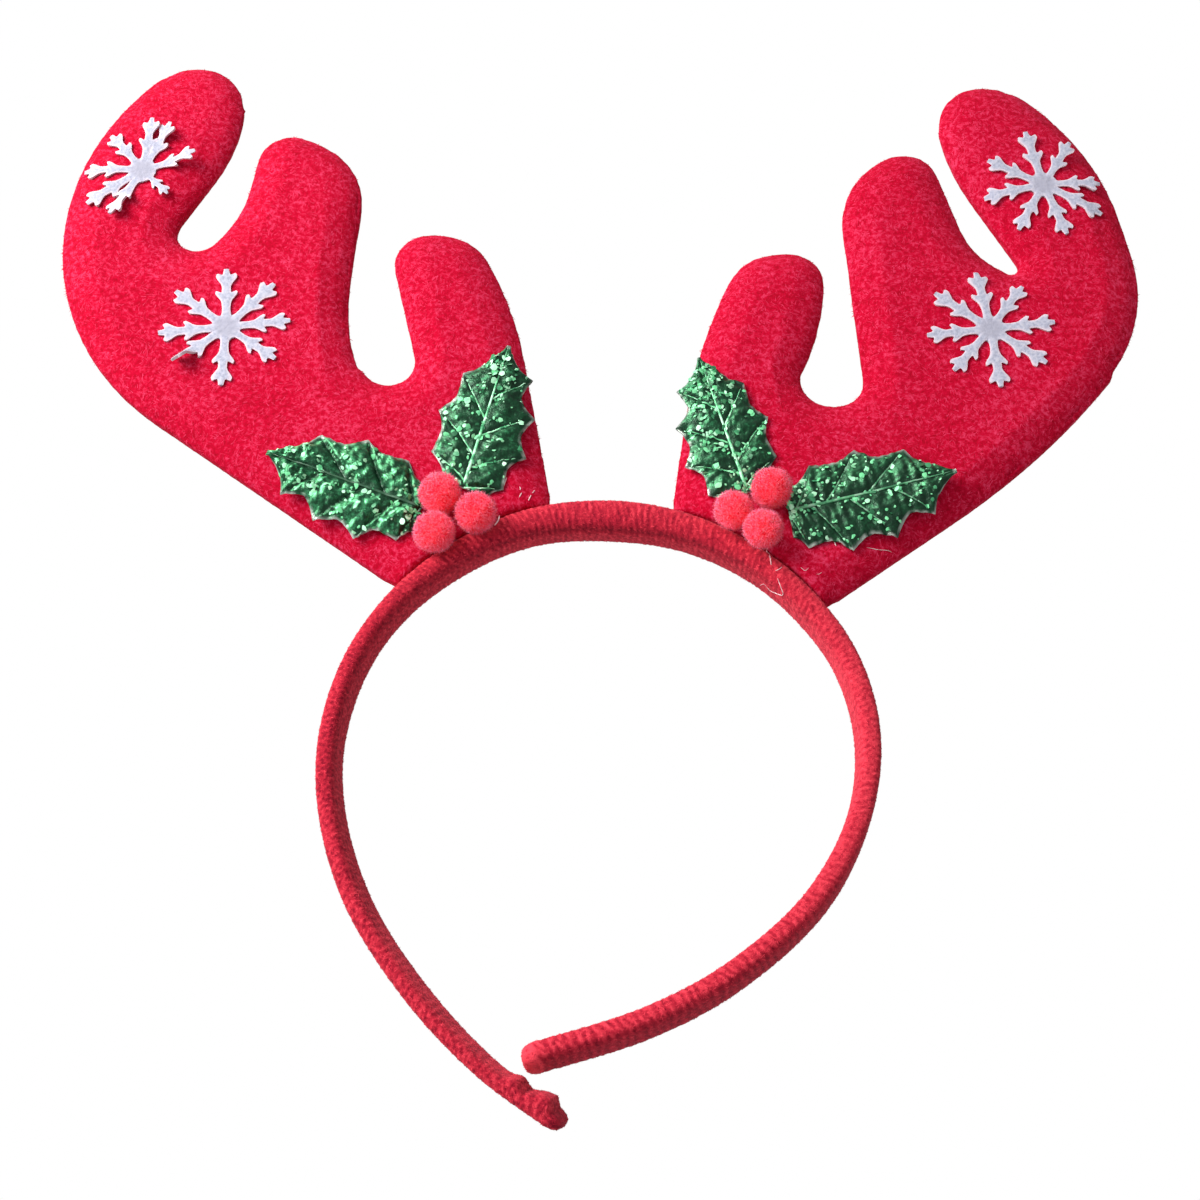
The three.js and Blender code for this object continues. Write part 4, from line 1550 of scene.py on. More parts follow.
    # Rows and places across that are strewn, and places tried for each glint.
    STREWN_ROWS, STREWN_ACROSS, TRIES = (0.1, 8.6), (-0.95, 0.95), 8
    # Stretch of the glitter's clumps, their size, and the share of places kept with its swing.
    CLUMP_ALONG, CLUMP_ACROSS, CLUMP, KEPT, KEPT_SWING = 1.6, 4.0, 1.7, 0.4, 0.35
    # Share of bright glints, what the leaf's light adds to it, and shades of bright and of dull glints.
    BRIGHT_SHARE, LIGHT_SHARE, BRIGHT_TINT, DULL_TINT = 0.5, 0.4, (0.55, 1.0), (0.05, 0.5)

    @staticmethod
    def _halves(across: Array) -> tuple[tuple[LeafHalf, Array], ...]:
        """Tells which places across the leaf lie in each half."""
        return (LeafHalf.BROAD, across < 0.0), (LeafHalf.NARROW, across >= 0.0)

    def _sunk(self, points: Array, floor: FeltFloor) -> Array:
        """Lowers points of the leaf to follow the felt."""
        points[:, 2] -= self.FOLLOW * floor.drop(points, self.MOST_DROP)
        return points

    def _edge(self, row: Array, half: LeafHalf) -> tuple[Array, Array, Array]:
        """Reads the leaf's rows, with curved hollows between the spines.

        Args:
            row: Row numbers, also between rows.
            half: Half of the leaf.

        Returns:
            Place of the midrib, and the edge's place along the leaf and out from the midrib.
        """
        first = 1 if half is LeafHalf.BROAD else 3
        low = np.clip(np.floor(row).astype(int), 0, len(self.ROWS) - 2)
        share = row - low
        start, end = self.ROWS[low], self.ROWS[low + 1]
        rib = start[:, 0] + (end[:, 0] - start[:, 0]) * share
        along = start[:, first] + (end[:, first] - start[:, first]) * share
        falls = end[:, first + 1] < start[:, first + 1]
        bent = np.where(falls, 1.0 - (1.0 - share) ** self.HOLLOW, share ** self.HOLLOW)
        out = start[:, first + 1] + (end[:, first + 1] - start[:, first + 1]) * bent
        return rib, along, out

    def _relief(self, row: Array, share: Array, half: LeafHalf) -> Array:
        """Gives the height of the puffed panels between the veins.

        Args:
            row: Row numbers.
            share: Share of the way from midrib to edge.
            half: Half of the leaf.

        Returns:
            Heights from 0 to about 1.
        """
        stops = np.array([self.PANEL_ENDS[0], *self.VEINS[half], self.PANEL_ENDS[1]])
        gap = np.interp(row + self.SLANT * (1.0 - share), stops, np.arange(len(stops)))
        panel = np.abs(np.sin(math.pi * gap)) ** self.PANEL_ALONG
        arch = self.PANEL_MARGIN + (1.0 - 2.0 * self.PANEL_MARGIN) * share
        across = np.sin(math.pi * arch) ** self.PANEL_ACROSS
        ends = smoothstep(row, *self.BASE_RUN) * (1.0 - self.TIP_SINK * smoothstep(row, *self.TIP_RUN))
        return panel * across * ends

    def _surface(self, row: Array, across: Array) -> Array:
        """Places points on the leaf's upper face.

        Args:
            row: Row numbers from base to tip.
            across: Place from -1 at the broad edge to 1 at the narrow edge.

        Returns:
            Layout points.
        """
        local = np.empty((len(row), 3))
        for half, mask in self._halves(across):
            share = np.abs(across[mask])
            rib, along, out = self._edge(row[mask], half)
            side = self.broad if half is LeafHalf.BROAD else -self.broad
            local[mask, 0] = (rib + (along - rib) * share) * self.long
            local[mask, 1] = side * out * share * self.spread * self._share(half)
            relief = self._relief(row[mask], share, half)
            level = self.lift * (np.maximum(rib, 0.0) / self.length) ** 2
            edge = self.EDGE_THICK + self.MIDDLE_THICK * (1.0 - share ** 3)
            local[mask, 2] = level + self.thickness * edge + self.puff * relief
        creases = ripple(local[:, :2] * np.array([1.0, self.CREASE_STRETCH]), self.CREASE, self.seed)
        fine = ripple(local[:, :2], self.FINE_CREASE, self.seed + 5)
        calm = 1.0 - self.CALM * bell(across, 0.0, self.CALM_HALF)
        local[:, 2] += calm * self.wrinkle * (creases + self.FINE_SHARE * fine)
        turn = math.radians(self.heading)
        layout = np.empty_like(local)
        layout[:, 0] = self.x + local[:, 0] * math.cos(turn) - local[:, 1] * math.sin(turn)
        layout[:, 1] = self.y + local[:, 0] * math.sin(turn) + local[:, 1] * math.cos(turn)
        layout[:, 2] = FACE_Z + local[:, 2]
        return layout

    def _share(self, half: LeafHalf) -> float:
        """Gives how far a half is spread against the pattern."""
        return self.narrow if half is LeafHalf.NARROW else 1.0

    def _groove_shade(self, row: Array, across: Array) -> Array:
        """Gives how near points lie to the pressed lines, for the painted shade beside them.

        Args:
            row: Row numbers from base to tip.
            across: Place from -1 at the broad edge to 1 at the narrow edge.

        Returns:
            Values from 0 between the lines to 1 beside them.
        """
        near = 1.0 - smoothstep(np.abs(across), *self.RIB_NEAR)
        for half, mask in self._halves(across):
            veins = np.array(self.VEINS[half])
            slanted = row[mask] + self.SLANT * (1.0 - np.abs(across[mask]))
            gap = np.abs(slanted[:, None] - veins[None]).min(axis=1)
            near[mask] = np.maximum(near[mask], 1.0 - smoothstep(gap, *self.VEIN_NEAR))
        return near

    def _painted_gleam(self, piece: Piece) -> Array:
        """Gives the painted highlight: how far slopes of the pressed glitter cloth face the lamp at the upper
        left.

        Args:
            piece: Leaf with its relief.

        Returns:
            Values from 0 to 1.
        """
        outward = Bench.normals(piece)
        outward *= np.sign(outward[:, 2:])
        slope = outward @ np.array(self.BRIGHT_SIDE)
        patchy = self._patchy(Bench.points(piece), self.GLEAM_PATCH, 13)
        return np.clip(smoothstep(slope, *self.BRIGHT_FROM) * patchy, 0.0, 1.0)

    def _patchy(self, points: Array, patch: Triple, seed: int) -> Array:
        """Gives an uneven strength over the leaf."""
        return patch[0] + patch[1] * ripple(points / MM, patch[2], self.seed + seed)

    def build(self, floor: FeltFloor) -> Piece:
        """Makes the pressed leaf.

        Args:
            floor: Felt under the leaf.

        Returns:
            The leaf.
        """
        rows = self.rows_each * (len(self.ROWS) - 1)
        piece, along, across = Bench.grid(self.node.replace("leaf", "holly_leaf"), rows, self.columns)
        row = along * (len(self.ROWS) - 1.0)
        side = across * 2.0 - 1.0
        points = self._sunk(to_part(self._surface(row, side)), floor)
        Bench.place(piece, points)
        ends = 1.0 - smoothstep(np.minimum(row, len(self.ROWS) - 1.0 - row), *self.RIM_ENDS)
        rim = np.maximum(smoothstep(np.abs(side), *self.RIM_ACROSS), ends)
        patchy = self._patchy(points, self.RIM_PATCH, 9)
        Bench.mark(piece, "rim", np.clip(rim * patchy, 0.0, 1.0))
        # Painted shade beside the midrib and the veins.
        Bench.mark(piece, "groove", self.PRESSED * self._groove_shade(row, side))
        # Painted highlight on the slopes that face the lamp.
        Bench.mark(piece, "painted_gleam", self.painted_gleam * self._painted_gleam(piece))
        Bench.merge(piece)
        Bench.face_up(piece)
        Bench.apply(piece, "SOLIDIFY", thickness=self.cloth * MM, offset=-1.0)
        Bench.smooth(piece)
        settle(piece, self.finish.cloth(self.light), Slot.LEAF, self.node)
        return piece

    def _lines(self) -> list[tuple[Array, Array, float]]:
        """Lists the pressed lines as rows, places across and half widths."""
        rib = np.linspace(*self.RIB_ROWS, self.LINE_POINTS)
        out = np.linspace(*self.VEIN_ACROSS, self.LINE_POINTS)
        lines = [(rib, np.full_like(rib, self.RIB_ACROSS), self.MIDRIB)]
        for half, sign in ((LeafHalf.BROAD, -1.0), (LeafHalf.NARROW, 1.0)):
            for vein in self.VEINS[half]:
                rows = np.maximum(vein - self.SLANT * (1.0 - out), self.VEIN_FROM)
                lines.append((rows, sign * out, self.VEIN))
        return lines

    def dress(self, floor: FeltFloor) -> list[Piece]:
        """Presses the veins into the leaf and strews it with glitter."""
        return [self._veins(floor), self._glitter(floor)]

    def _veins(self, floor: FeltFloor) -> Piece:
        """Makes the raised lines along the midrib and the veins.

        Args:
            floor: Felt under the leaf.

        Returns:
            The veins.
        """
        corners: list[Array] = []
        faces: list[Array] = []
        offset = 0
        for row, across, half in self._lines():
            spine = self._sunk(to_part(self._surface(row, across)), floor)
            spine[:, 2] += self.VEIN_LIFT * MM
            thin = half * MM * (1.0 - self.TAPER * np.linspace(0.0, 1.0, len(spine)) ** 1.5)
            thin[[0, -1]] *= self.BLUNT
            corners.append(Tube.rings(spine, thin, self.VEIN_SIDES, self.VEIN_FLAT))
            faces.append(Tube.faces(len(spine), self.VEIN_SIDES) + offset)
            offset += len(spine) * self.VEIN_SIDES
        veins = Bench.mesh_piece(
            self.node.replace("leaf", "leaf_veins"), np.concatenate(corners), np.concatenate(faces)
        )
        Bench.merge(veins, self.APART)
        Bench.smooth(veins)
        return settle(veins, self.finish.rib(self.foil_glint), Slot.LEAF)

    def _strew(self, rng: Chance) -> tuple[Array, Array]:
        """Picks clustered places for the glitter.

        Args:
            rng: Seeded source of chance.

        Returns:
            Row numbers, and places across the leaf.
        """
        tries = self.TRIES * self.glitter
        row = rng.uniform(*self.STREWN_ROWS, size=tries)
        across = rng.uniform(*self.STREWN_ACROSS, size=tries)
        place = np.stack([self.CLUMP_ALONG * row, self.CLUMP_ACROSS * across, np.zeros_like(row)], axis=1)
        share = self.KEPT + self.KEPT_SWING * ripple(place, self.CLUMP, self.seed + 3)
        share += self.strewn[0] * (0.5 - row / (len(self.ROWS) - 1.0)) + self.strewn[1] * across
        kept = np.flatnonzero(rng.random(tries) < share)[:self.glitter]
        return row[kept], across[kept]

    def _glitter(self, floor: FeltFloor) -> Piece:
        """Makes the loose flakes of glitter, each a low round lens.

        Args:
            floor: Felt under the leaf.

        Returns:
            The glitter.
        """
        rng = np.random.default_rng(self.seed + 40)
        row, across = self._strew(rng)
        count = len(row)
        here = to_part(self._surface(row, across))
        step = 0.02
        ahead = to_part(self._surface(row + step, across)) - here
        beside = to_part(self._surface(row, across + step)) - here
        normal = np.cross(ahead, beside)
        normal = unit(normal * np.sign(normal[:, 2:3]))
        normal = unit(normal + self.GLINT_TILT * rng.normal(size=normal.shape))
        here = self._sunk(here, floor) + self.GLINT_FOOT * MM * normal
        first, second = Fibres.frames(normal, rng)
        radius = rng.choice(self.GLINTS, p=self.GLINT_ODDS, size=(count, 1)) * MM
        second *= rng.uniform(*self.GLINT_WIDE, size=(count, 1))
        sides = self.GLINT_SIDES
        points = np.empty((count, sides + 2, 3))
        for side in range(sides):
            angle = 2.0 * math.pi * side / sides
            reach = radius * rng.uniform(*self.GLINT_EDGE, size=(count, 1))
            points[:, side] = here + reach * (math.cos(angle) * first + math.sin(angle) * second)
        points[:, sides] = here + self.GLINT_TOP * MM * normal
        points[:, sides + 1] = here - self.GLINT_FOOT * MM * normal
        upper = [[side, (side + 1) % sides, sides] for side in range(sides)]
        lower = [[(side + 1) % sides, side, sides + 1] for side in range(sides)]
        pattern = np.array(upper + lower)
        faces = (pattern[None] + (sides + 2) * np.arange(count)[:, None, None]).reshape(-1, 3)
        glitter = Bench.mesh_piece(self.node.replace("leaf", "leaf_glitter"), points.reshape(-1, 3), faces)
        # Painted light: a lighter leaf gets more bright glints.
        bright = rng.random(count) < self.BRIGHT_SHARE + self.LIGHT_SHARE * self.light
        tint = np.where(bright, rng.uniform(*self.BRIGHT_TINT, count), rng.uniform(*self.DULL_TINT, count))
        Bench.mark(glitter, "tint", np.repeat(tint, sides + 2))
        glitter.data.shade_flat()
        return settle(glitter, self.finish.glitter(), Slot.LEAF)


@dataclass
class PompomBerry:
    """A pompom of cut coral yarn, with sizes in millimetres."""

    node: str
    x: float
    y: float
    z: float
    radius: float
    seed: int
    yarn: int = 3600
    fluff: float = 1.4
    packed: float = 0.93
    lumps: tuple[Span, ...] = ((2.4, 0.6), (0.7, 0.22))
    width: Span = (0.06, 0.11)
    finish: YarnFinish = YarnFinish()

    # How far the tips turn away, their least and most share of the full length, and their shade and spread.
    ASTRAY, SHARE, TINT = 0.55, (0.35, 1.0), (0.55, 0.2)

    def build(self) -> list[Piece]:
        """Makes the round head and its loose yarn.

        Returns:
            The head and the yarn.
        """
        middle = to_part(np.array([[self.x, self.y, self.z]]))[0]
        size = self.packed * self.radius * MM
        bpy.ops.object.select_all(action="DESELECT")
        bpy.ops.mesh.primitive_ico_sphere_add(subdivisions=5, radius=size, location=middle)
        head = bpy.context.object
        head.name = self.node.replace("berry", "pompom_head")
        bpy.ops.object.transform_apply(location=True, rotation=True, scale=True)
        for lump, depth in self.lumps:
            Bench.rumple(head, lump * MM, depth * MM)
        Bench.smooth(head)
        settle(head, self.finish.head(), Slot.BERRY, self.node)
        return [head, self._yarn(head)]

    def _yarn(self, head: Piece) -> Piece:
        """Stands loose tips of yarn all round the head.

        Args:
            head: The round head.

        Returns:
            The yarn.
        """
        rng = np.random.default_rng(self.seed)
        roots, ways, _ = Bench.scatter(head, self.yarn, rng)
        leant = unit(ways + self.ASTRAY * rng.normal(size=ways.shape))
        length = rng.uniform(*self.SHARE, size=self.yarn) * self.fluff * MM
        tips = roots + leant * length[:, None]
        tips[:, 2] = np.maximum(tips[:, 2], 0.0)
        width = rng.uniform(*self.width, size=self.yarn) * MM
        tint = np.clip(rng.normal(*self.TINT, size=self.yarn), 0.0, 1.0)
        yarn = Fibres(self.node.replace("berry", "pompom_yarn"), roots, tips, width, tint).spikes(rng)
        Bench.soften(yarn)
        return settle(yarn, self.finish.yarn(), Slot.BERRY)


@dataclass(frozen=True)
class FlakeArm:
    """An arm of a snowflake: its heading, reach and rise, and how far and from where it turns on edge."""

    heading: float
    reach: float
    lift: float = 0.0
    roll: float = 0.0
    roll_from: float = 0.25


@dataclass
class FeltFlake:
    """A snowflake cut from white felt, with sizes in millimetres."""

    node: str
    x: float
    y: float
    seed: int
    arms: tuple[FlakeArm, ...]
    felt: float = 0.7
    hub: float = 3.5
    valley: float = 3.45
    stem: float = 0.062
    columns: int = 5
    cut: float = 0.17
    stand: float = 0.12
    lump: float = 0.8
    lump_depth: float = 0.12
    seam: float = 0.01
    fuzz: int = 500
    finish: SnowFinish = SnowFinish()

    # Half of an arm from hub to tip, in shares of the reach: along and out on the cut edge, and where the row
    # starts on the arm's middle line. Rows inside the valley between two arms are moved out to it.
    ROWS = np.array([
        (0.0, 0.0, 0.0), (0.235, 0.064, 0.12), (0.34, 0.06, 0.3), (0.45, 0.075, 0.45),
        (0.58, 0.167, 0.48), (0.63, 0.15, 0.52), (0.585, 0.066, 0.575), (0.72, 0.064, 0.72),
        (0.865, 0.16, 0.8), (0.93, 0.138, 0.84), (0.895, 0.055, 0.9), (1.0, 0.036, 1.0),
    ])
    # Millimetres over which an arm turns on edge.
    TURN_RUN = 3.0
    # How far the felt sinks into the face under it and thins at its cut edge, share of the drop under it that
    # it follows, and the most drop, in millimetres.
    SINK, EDGE_THIN, FOLLOW, MOST_DROP = 0.15, 0.12, 0.9, 3.4
    # Where the painted light of the rim begins across an arm and along it, where the worn hub ends, and how
    # strong both are.
    RIM_ACROSS, RIM_ALONG, HUB_RUN, RIM, HUB = (0.5, 1.0), (0.0, 0.2), (2.2, 3.1), 0.95, 0.8
    # Upward share below which a face counts as a cut edge, and how far its loose fibres turn away.
    EDGE_TILT, ASTRAY = 0.75, 0.5
    # Times that corners are cut, and places tried for each loose fibre.
    CUTS, TRIES = 2, 12
    # Least and most length and half width of a loose fibre, how deep it is rooted, and its shade and spread.
    FUZZ_LENGTH, FUZZ_WIDTH, FUZZ_ROOT, FUZZ_TINT = (0.2, 0.5), (0.02, 0.04), 0.05, (0.65, 0.2)

    def _rows(self, index: int, side: int) -> Array:
        """Lists the rows across one half of an arm.

        Args:
            index: Number of the arm.
            side: -1 for its right half, 1 for its left half.

        Returns:
            Rows of the cut edge along and across the arm, and of the middle line, in millimetres.
        """
        arm = self.arms[index]
        beside = self.arms[(index + side) % len(self.arms)]
        angle = math.radians(side * (beside.heading - arm.heading) % 360.0) / 2.0
        reach = (arm.reach + beside.reach) / 2.0
        valley = max(self.valley, self.stem * reach / math.sin(angle))
        along, out = valley * math.cos(angle), valley * math.sin(angle)
        rows = self.ROWS * arm.reach
        rows[rows[:, 0] < along, :2] = along, out
        rows[:, 1] *= side
        for _ in range(self.CUTS):
            early = (1.0 - self.cut) * rows[:-1] + self.cut * rows[1:]
            late = self.cut * rows[:-1] + (1.0 - self.cut) * rows[1:]
            rows = np.concatenate([rows[:1], np.stack([early, late], axis=1).reshape(-1, 3), rows[-1:]])
        return rows

    def _bend(self, arm: FlakeArm, flat: Array) -> Array:
        """Lifts an arm and turns it on edge.

        Args:
            arm: The arm.
            flat: Points along and across the arm.

        Returns:
            Layout points with heights over the felt.
        """
        start = max(self.hub, arm.roll_from * arm.reach)
        turn = math.radians(arm.roll) * smoothstep(flat[:, 0], start, start + self.TURN_RUN)
        across = flat[:, 1] * np.cos(turn)
        up = flat[:, 1] * np.sin(turn) + self.stand * arm.reach * np.abs(np.sin(turn))
        up += arm.lift * smoothstep(flat[:, 0], self.hub, arm.reach) ** 2
        heading = math.radians(arm.heading)
        return np.stack([
            self.x + flat[:, 0] * math.cos(heading) - across * math.sin(heading),
            self.y + flat[:, 0] * math.sin(heading) + across * math.cos(heading),
            up,
        ], axis=1)

    def _half(self, index: int, side: int, floor: FeltFloor) -> Piece:
        """Makes one half of an arm.

        Args:
            index: Number of the arm.
            side: -1 for its right half, 1 for its left half.
            floor: Felt under the snowflake.

        Returns:
            The half.
        """
        rows = self._rows(index, side)
        name = f"{self.node}_{index}_{side}"
        half, along, across = Bench.grid(name, len(rows) - 1, self.columns)
        edge = rows[np.rint(along * (len(rows) - 1)).astype(int)]
        middle = np.stack([edge[:, 2], np.zeros(len(edge))], axis=1)
        flat = middle + (edge[:, :2] - middle) * across[:, None]
        layout = self._bend(self.arms[index], flat)
        under = floor.drop(to_part(layout), self.MOST_DROP) / MM
        layout[:, 2] += FACE_Z + self.felt - self.SINK - self.EDGE_THIN * across ** 3 - self.FOLLOW * under
        Bench.place(half, to_part(layout))
        rim = smoothstep(across, *self.RIM_ACROSS) * smoothstep(along, *self.RIM_ALONG)
        worn = 1.0 - smoothstep(np.linalg.norm(flat, axis=1), *self.HUB_RUN)
        # Painted light along the cut edges.
        Bench.mark(half, "rim", self.RIM * rim)
        Bench.mark(half, "hub", self.HUB * worn)
        return half

    def build(self, floor: FeltFloor) -> Piece:
        """Makes the cut felt.

        Args:
            floor: Felt under the snowflake.

        Returns:
            The snowflake.
        """
        halves = [self._half(index, side, floor) for index in range(len(self.arms)) for side in (-1, 1)]
        piece = Bench.join(halves, self.node.replace("flake", "snowflake"))
        Bench.merge(piece, self.seam * MM)
        Bench.face_up(piece)
        Bench.apply(piece, "SOLIDIFY", thickness=self.felt * MM, offset=-1.0)
        Bench.rumple(piece, self.lump * MM, self.lump_depth * MM)
        Bench.crisp(piece)
        return settle(piece, self.finish.cloth(), Slot.FLAKE, self.node)

    def dress(self, flake: Piece) -> Piece:
        """Frays the cut edges.

        Args:
            flake: The cut snowflake.

        Returns:
            The loose fibres.
        """
        rng = np.random.default_rng(self.seed)
        roots, ways, _ = Bench.scatter(flake, self.TRIES * self.fuzz, rng)
        edge = np.abs(ways[:, 2]) < self.EDGE_TILT
        roots, ways = roots[edge][:self.fuzz], ways[edge][:self.fuzz]
        count = len(roots)
        leant = unit(ways + self.ASTRAY * rng.normal(size=(count, 3)))
        length = rng.uniform(*self.FUZZ_LENGTH, size=count) * MM
        width = rng.uniform(*self.FUZZ_WIDTH, size=count) * MM
        tint = np.clip(rng.normal(*self.FUZZ_TINT, size=count), 0.0, 1.0)
        tips = roots + leant * length[:, None]
        roots = roots - self.FUZZ_ROOT * MM * ways
        fuzz = Fibres(self.node.replace("flake", "snow_fuzz"), roots, tips, width, tint).spikes(rng)
        return settle(fuzz, self.finish.fuzz(), Slot.FLAKE)


@dataclass(frozen=True)
class Strand:
    """A stray thread: points in the layout plane and half its width."""

    points: tuple[Span, ...]
    half: float


@dataclass
class StrayThreads:
    """Pale threads of glue and loose fibre left on the felt and the plush."""

    strands: tuple[Strand, ...]
    eye: Array
    sides: int = 5
    step: float = 0.25
    finish: ThreadFinish = ThreadFinish()

    # Least points of a thread, times that its bends are eased, and shares of half a turn that round its ends.
    LEAST_POINTS, EASED, ENDS = 6, 2, (0.12, 0.88)

    def build(self, floor: FeltFloor) -> Piece:
        """Lays the threads on the surface.

        Args:
            floor: Soft pieces under the threads.

        Returns:
            The threads.
        """
        threads = [self._strand(strand, floor, index) for index, strand in enumerate(self.strands)]
        piece = Bench.join(threads, "stray_threads")
        Bench.smooth(piece)
        return settle(piece, self.finish.thread(), Slot.BAND)

    def _strand(self, strand: Strand, floor: FeltFloor, index: int) -> Piece:
        """Lays one thread.

        Args:
            strand: The thread.
            floor: Soft pieces under it.
            index: Number of the thread.

        Returns:
            The thread as a closed tube.
        """
        stops = np.array(strand.points)
        run = np.concatenate([[0.0], np.cumsum(np.linalg.norm(np.diff(stops, axis=0), axis=1))])
        steps = np.linspace(0.0, run[-1], max(self.LEAST_POINTS, int(run[-1] / self.step)))
        spine = np.zeros((len(steps), 3))
        for axis in range(2):
            spine[:, axis] = np.interp(steps, run, stops[:, axis])
        spine[:, 2] = FACE_Z
        spine = floor.seen(to_part(self.eye)[0], to_part(spine))
        spine[:, 2] += 0.5 * strand.half * MM
        for _ in range(self.EASED):
            spine[1:-1] = 0.25 * spine[:-2] + 0.5 * spine[1:-1] + 0.25 * spine[2:]
        half = strand.half * MM * np.sqrt(np.sin(math.pi * np.linspace(*self.ENDS, len(steps))))
        corners = Tube.rings(spine, half, self.sides, 1.0)
        faces = Tube.faces(len(spine), self.sides)
        return Bench.mesh_piece(f"strand_{index}", corners, faces)


@dataclass
class Studio:
    """White floor, soft light from the upper left and the camera."""

    tilt: float = 27.0
    distance: float = 650.0
    aim: float = 4.5
    lens: float = 84.3
    sensor: float = 36.0
    clip: Span = (0.01, 100.0)
    key: float = 8.3
    key_at: Triple = (-0.5, 0.27, 0.44)
    key_size: float = 0.4
    key_tone: Triple = (1.0, 0.985, 0.97)
    sky: float = 0.75
    side: float = 0.42
    floor_size: float = 40.0
    floor_at: float = -0.0002

    def eye(self) -> Array:
        """Gives the viewer's place in the layout."""
        tilt = math.radians(self.tilt)
        return np.array([[0.0, -self.distance * math.sin(tilt), self.aim + self.distance * math.cos(tilt)]])

    def camera(self) -> None:
        """Sets the camera above the lying headband."""
        rotation = (math.radians(self.tilt), 0.0, 0.0)
        bpy.ops.object.camera_add(location=to_part(self.eye())[0], rotation=rotation)
        camera = bpy.context.object
        camera.data.lens = self.lens
        camera.data.sensor_width = self.sensor
        camera.data.clip_start, camera.data.clip_end = self.clip
        bpy.context.scene.camera = camera

    def floor(self) -> None:
        """Lays the white floor, which throws no light back onto the headband."""
        bpy.ops.object.select_all(action="DESELECT")
        bpy.ops.mesh.primitive_plane_add(size=self.floor_size, location=(0.0, 0.0, self.floor_at))
        floor = bpy.context.object
        floor.name = "floor"
        sketch = Sketch("pale_floor")
        floor.data.materials.append(sketch.surface(
            Base_Color=(0.0, 0.0, 0.0, 1.0), Roughness=1.0, Specular_IOR_Level=0.0,
            Emission_Color=(1.0, 1.0, 1.0, 1.0), Emission_Strength=1.0,
        ))
        floor.visible_diffuse = False
        floor.visible_glossy = False
        floor.visible_shadow = False

    def lamp(self) -> None:
        """Adds the soft lamp at the upper left, pointed at the headband."""
        place = Vector(self.key_at)
        turn = (-place).to_track_quat("-Z", "Y").to_euler()
        bpy.ops.object.light_add(type="AREA", location=place, rotation=turn)
        lamp = bpy.context.object
        lamp.name = "key"
        lamp.data.size = self.key_size
        lamp.data.energy = self.key
        lamp.data.color = self.key_tone

    def air(self) -> None:
        """Lights the headband softly all round, more from the left."""
        world = bpy.data.worlds.new("sky")
        world.use_nodes = True
        tree = world.node_tree
        place = tree.nodes.new("ShaderNodeTexCoord")
        split = tree.nodes.new("ShaderNodeSeparateXYZ")
        lean = tree.nodes.new("ShaderNodeMath")
        lean.operation = "MULTIPLY_ADD"
        lean.inputs[1].default_value = -self.side * self.sky
        lean.inputs[2].default_value = self.sky
        tree.links.new(place.outputs["Generated"], split.inputs["Vector"])
        tree.links.new(split.outputs["X"], lean.inputs[0])
        tree.links.new(lean.outputs["Value"], tree.nodes["Background"].inputs["Strength"])
        tree.nodes["Background"].inputs["Color"].default_value = (1.0, 1.0, 1.0, 1.0)
        bpy.context.scene.world = world

    def build(self) -> None:
        """Sets up camera, floor, lamp and sky."""
        self.camera()
        self.floor()
        self.lamp()
        self.air()
        bpy.context.scene.view_settings.view_transform = "Standard"
        bpy.context.scene.view_settings.look = "None"


ANTLERS = (("antler_left", 51), ("antler_right", 61))
LEAVES = (
    HollyLeaf(
        "leaf_upper_left", x=-31.8, y=27.2, heading=75.2, long=1.045, spread=0.9, broad=-1, lift=1.6,
        light=0.5, glitter=240, seed=101, puff=0.9, wrinkle=0.15, narrow=1.13, strewn=(0.0, 0.25), painted_gleam=0.2,
    ),
    HollyLeaf(
        "leaf_lower_left", x=-42.3, y=21.4, heading=158.5, long=1.035, spread=0.97, broad=1, lift=1.2,
        light=0.8, glitter=220, seed=102, puff=2.0, wrinkle=0.22, narrow=1.12, foil_glint=0.1, strewn=(0.4, -0.1),
        painted_gleam=1.0,
    ),
    HollyLeaf(
        "leaf_upper_right", x=34.3, y=25.9, heading=106.5, long=1.0, spread=0.88, broad=1, lift=1.6,
        light=0.5, glitter=340, seed=103, puff=0.9, wrinkle=0.15, narrow=1.1, strewn=(0.0, -0.1),
    ),
    HollyLeaf(
        "leaf_lower_right", x=44.6, y=20.4, heading=13.4, long=1.06, spread=1.0, broad=-1, lift=3.2,
        light=0.35, glitter=260, seed=104, puff=0.9, wrinkle=0.15, narrow=1.1, foil_glint=0.45, strewn=(0.7, 0.0),
    ),
)
BERRIES = (
    PompomBerry("berry_left_top", -37.1, 22.7, 14.2, 4.7, 201),
    PompomBerry("berry_left_inner", -28.75, 18.0, 13.7, 4.6, 202),
    PompomBerry("berry_left_low", -38.25, 12.85, 13.7, 4.6, 203),
    PompomBerry("berry_right_top", 39.9, 24.3, 14.1, 4.6, 204),
    PompomBerry("berry_right_inner", 30.95, 18.75, 13.5, 4.3, 205),
    PompomBerry("berry_right_low", 37.55, 13.2, 14.6, 4.3, 206),
)
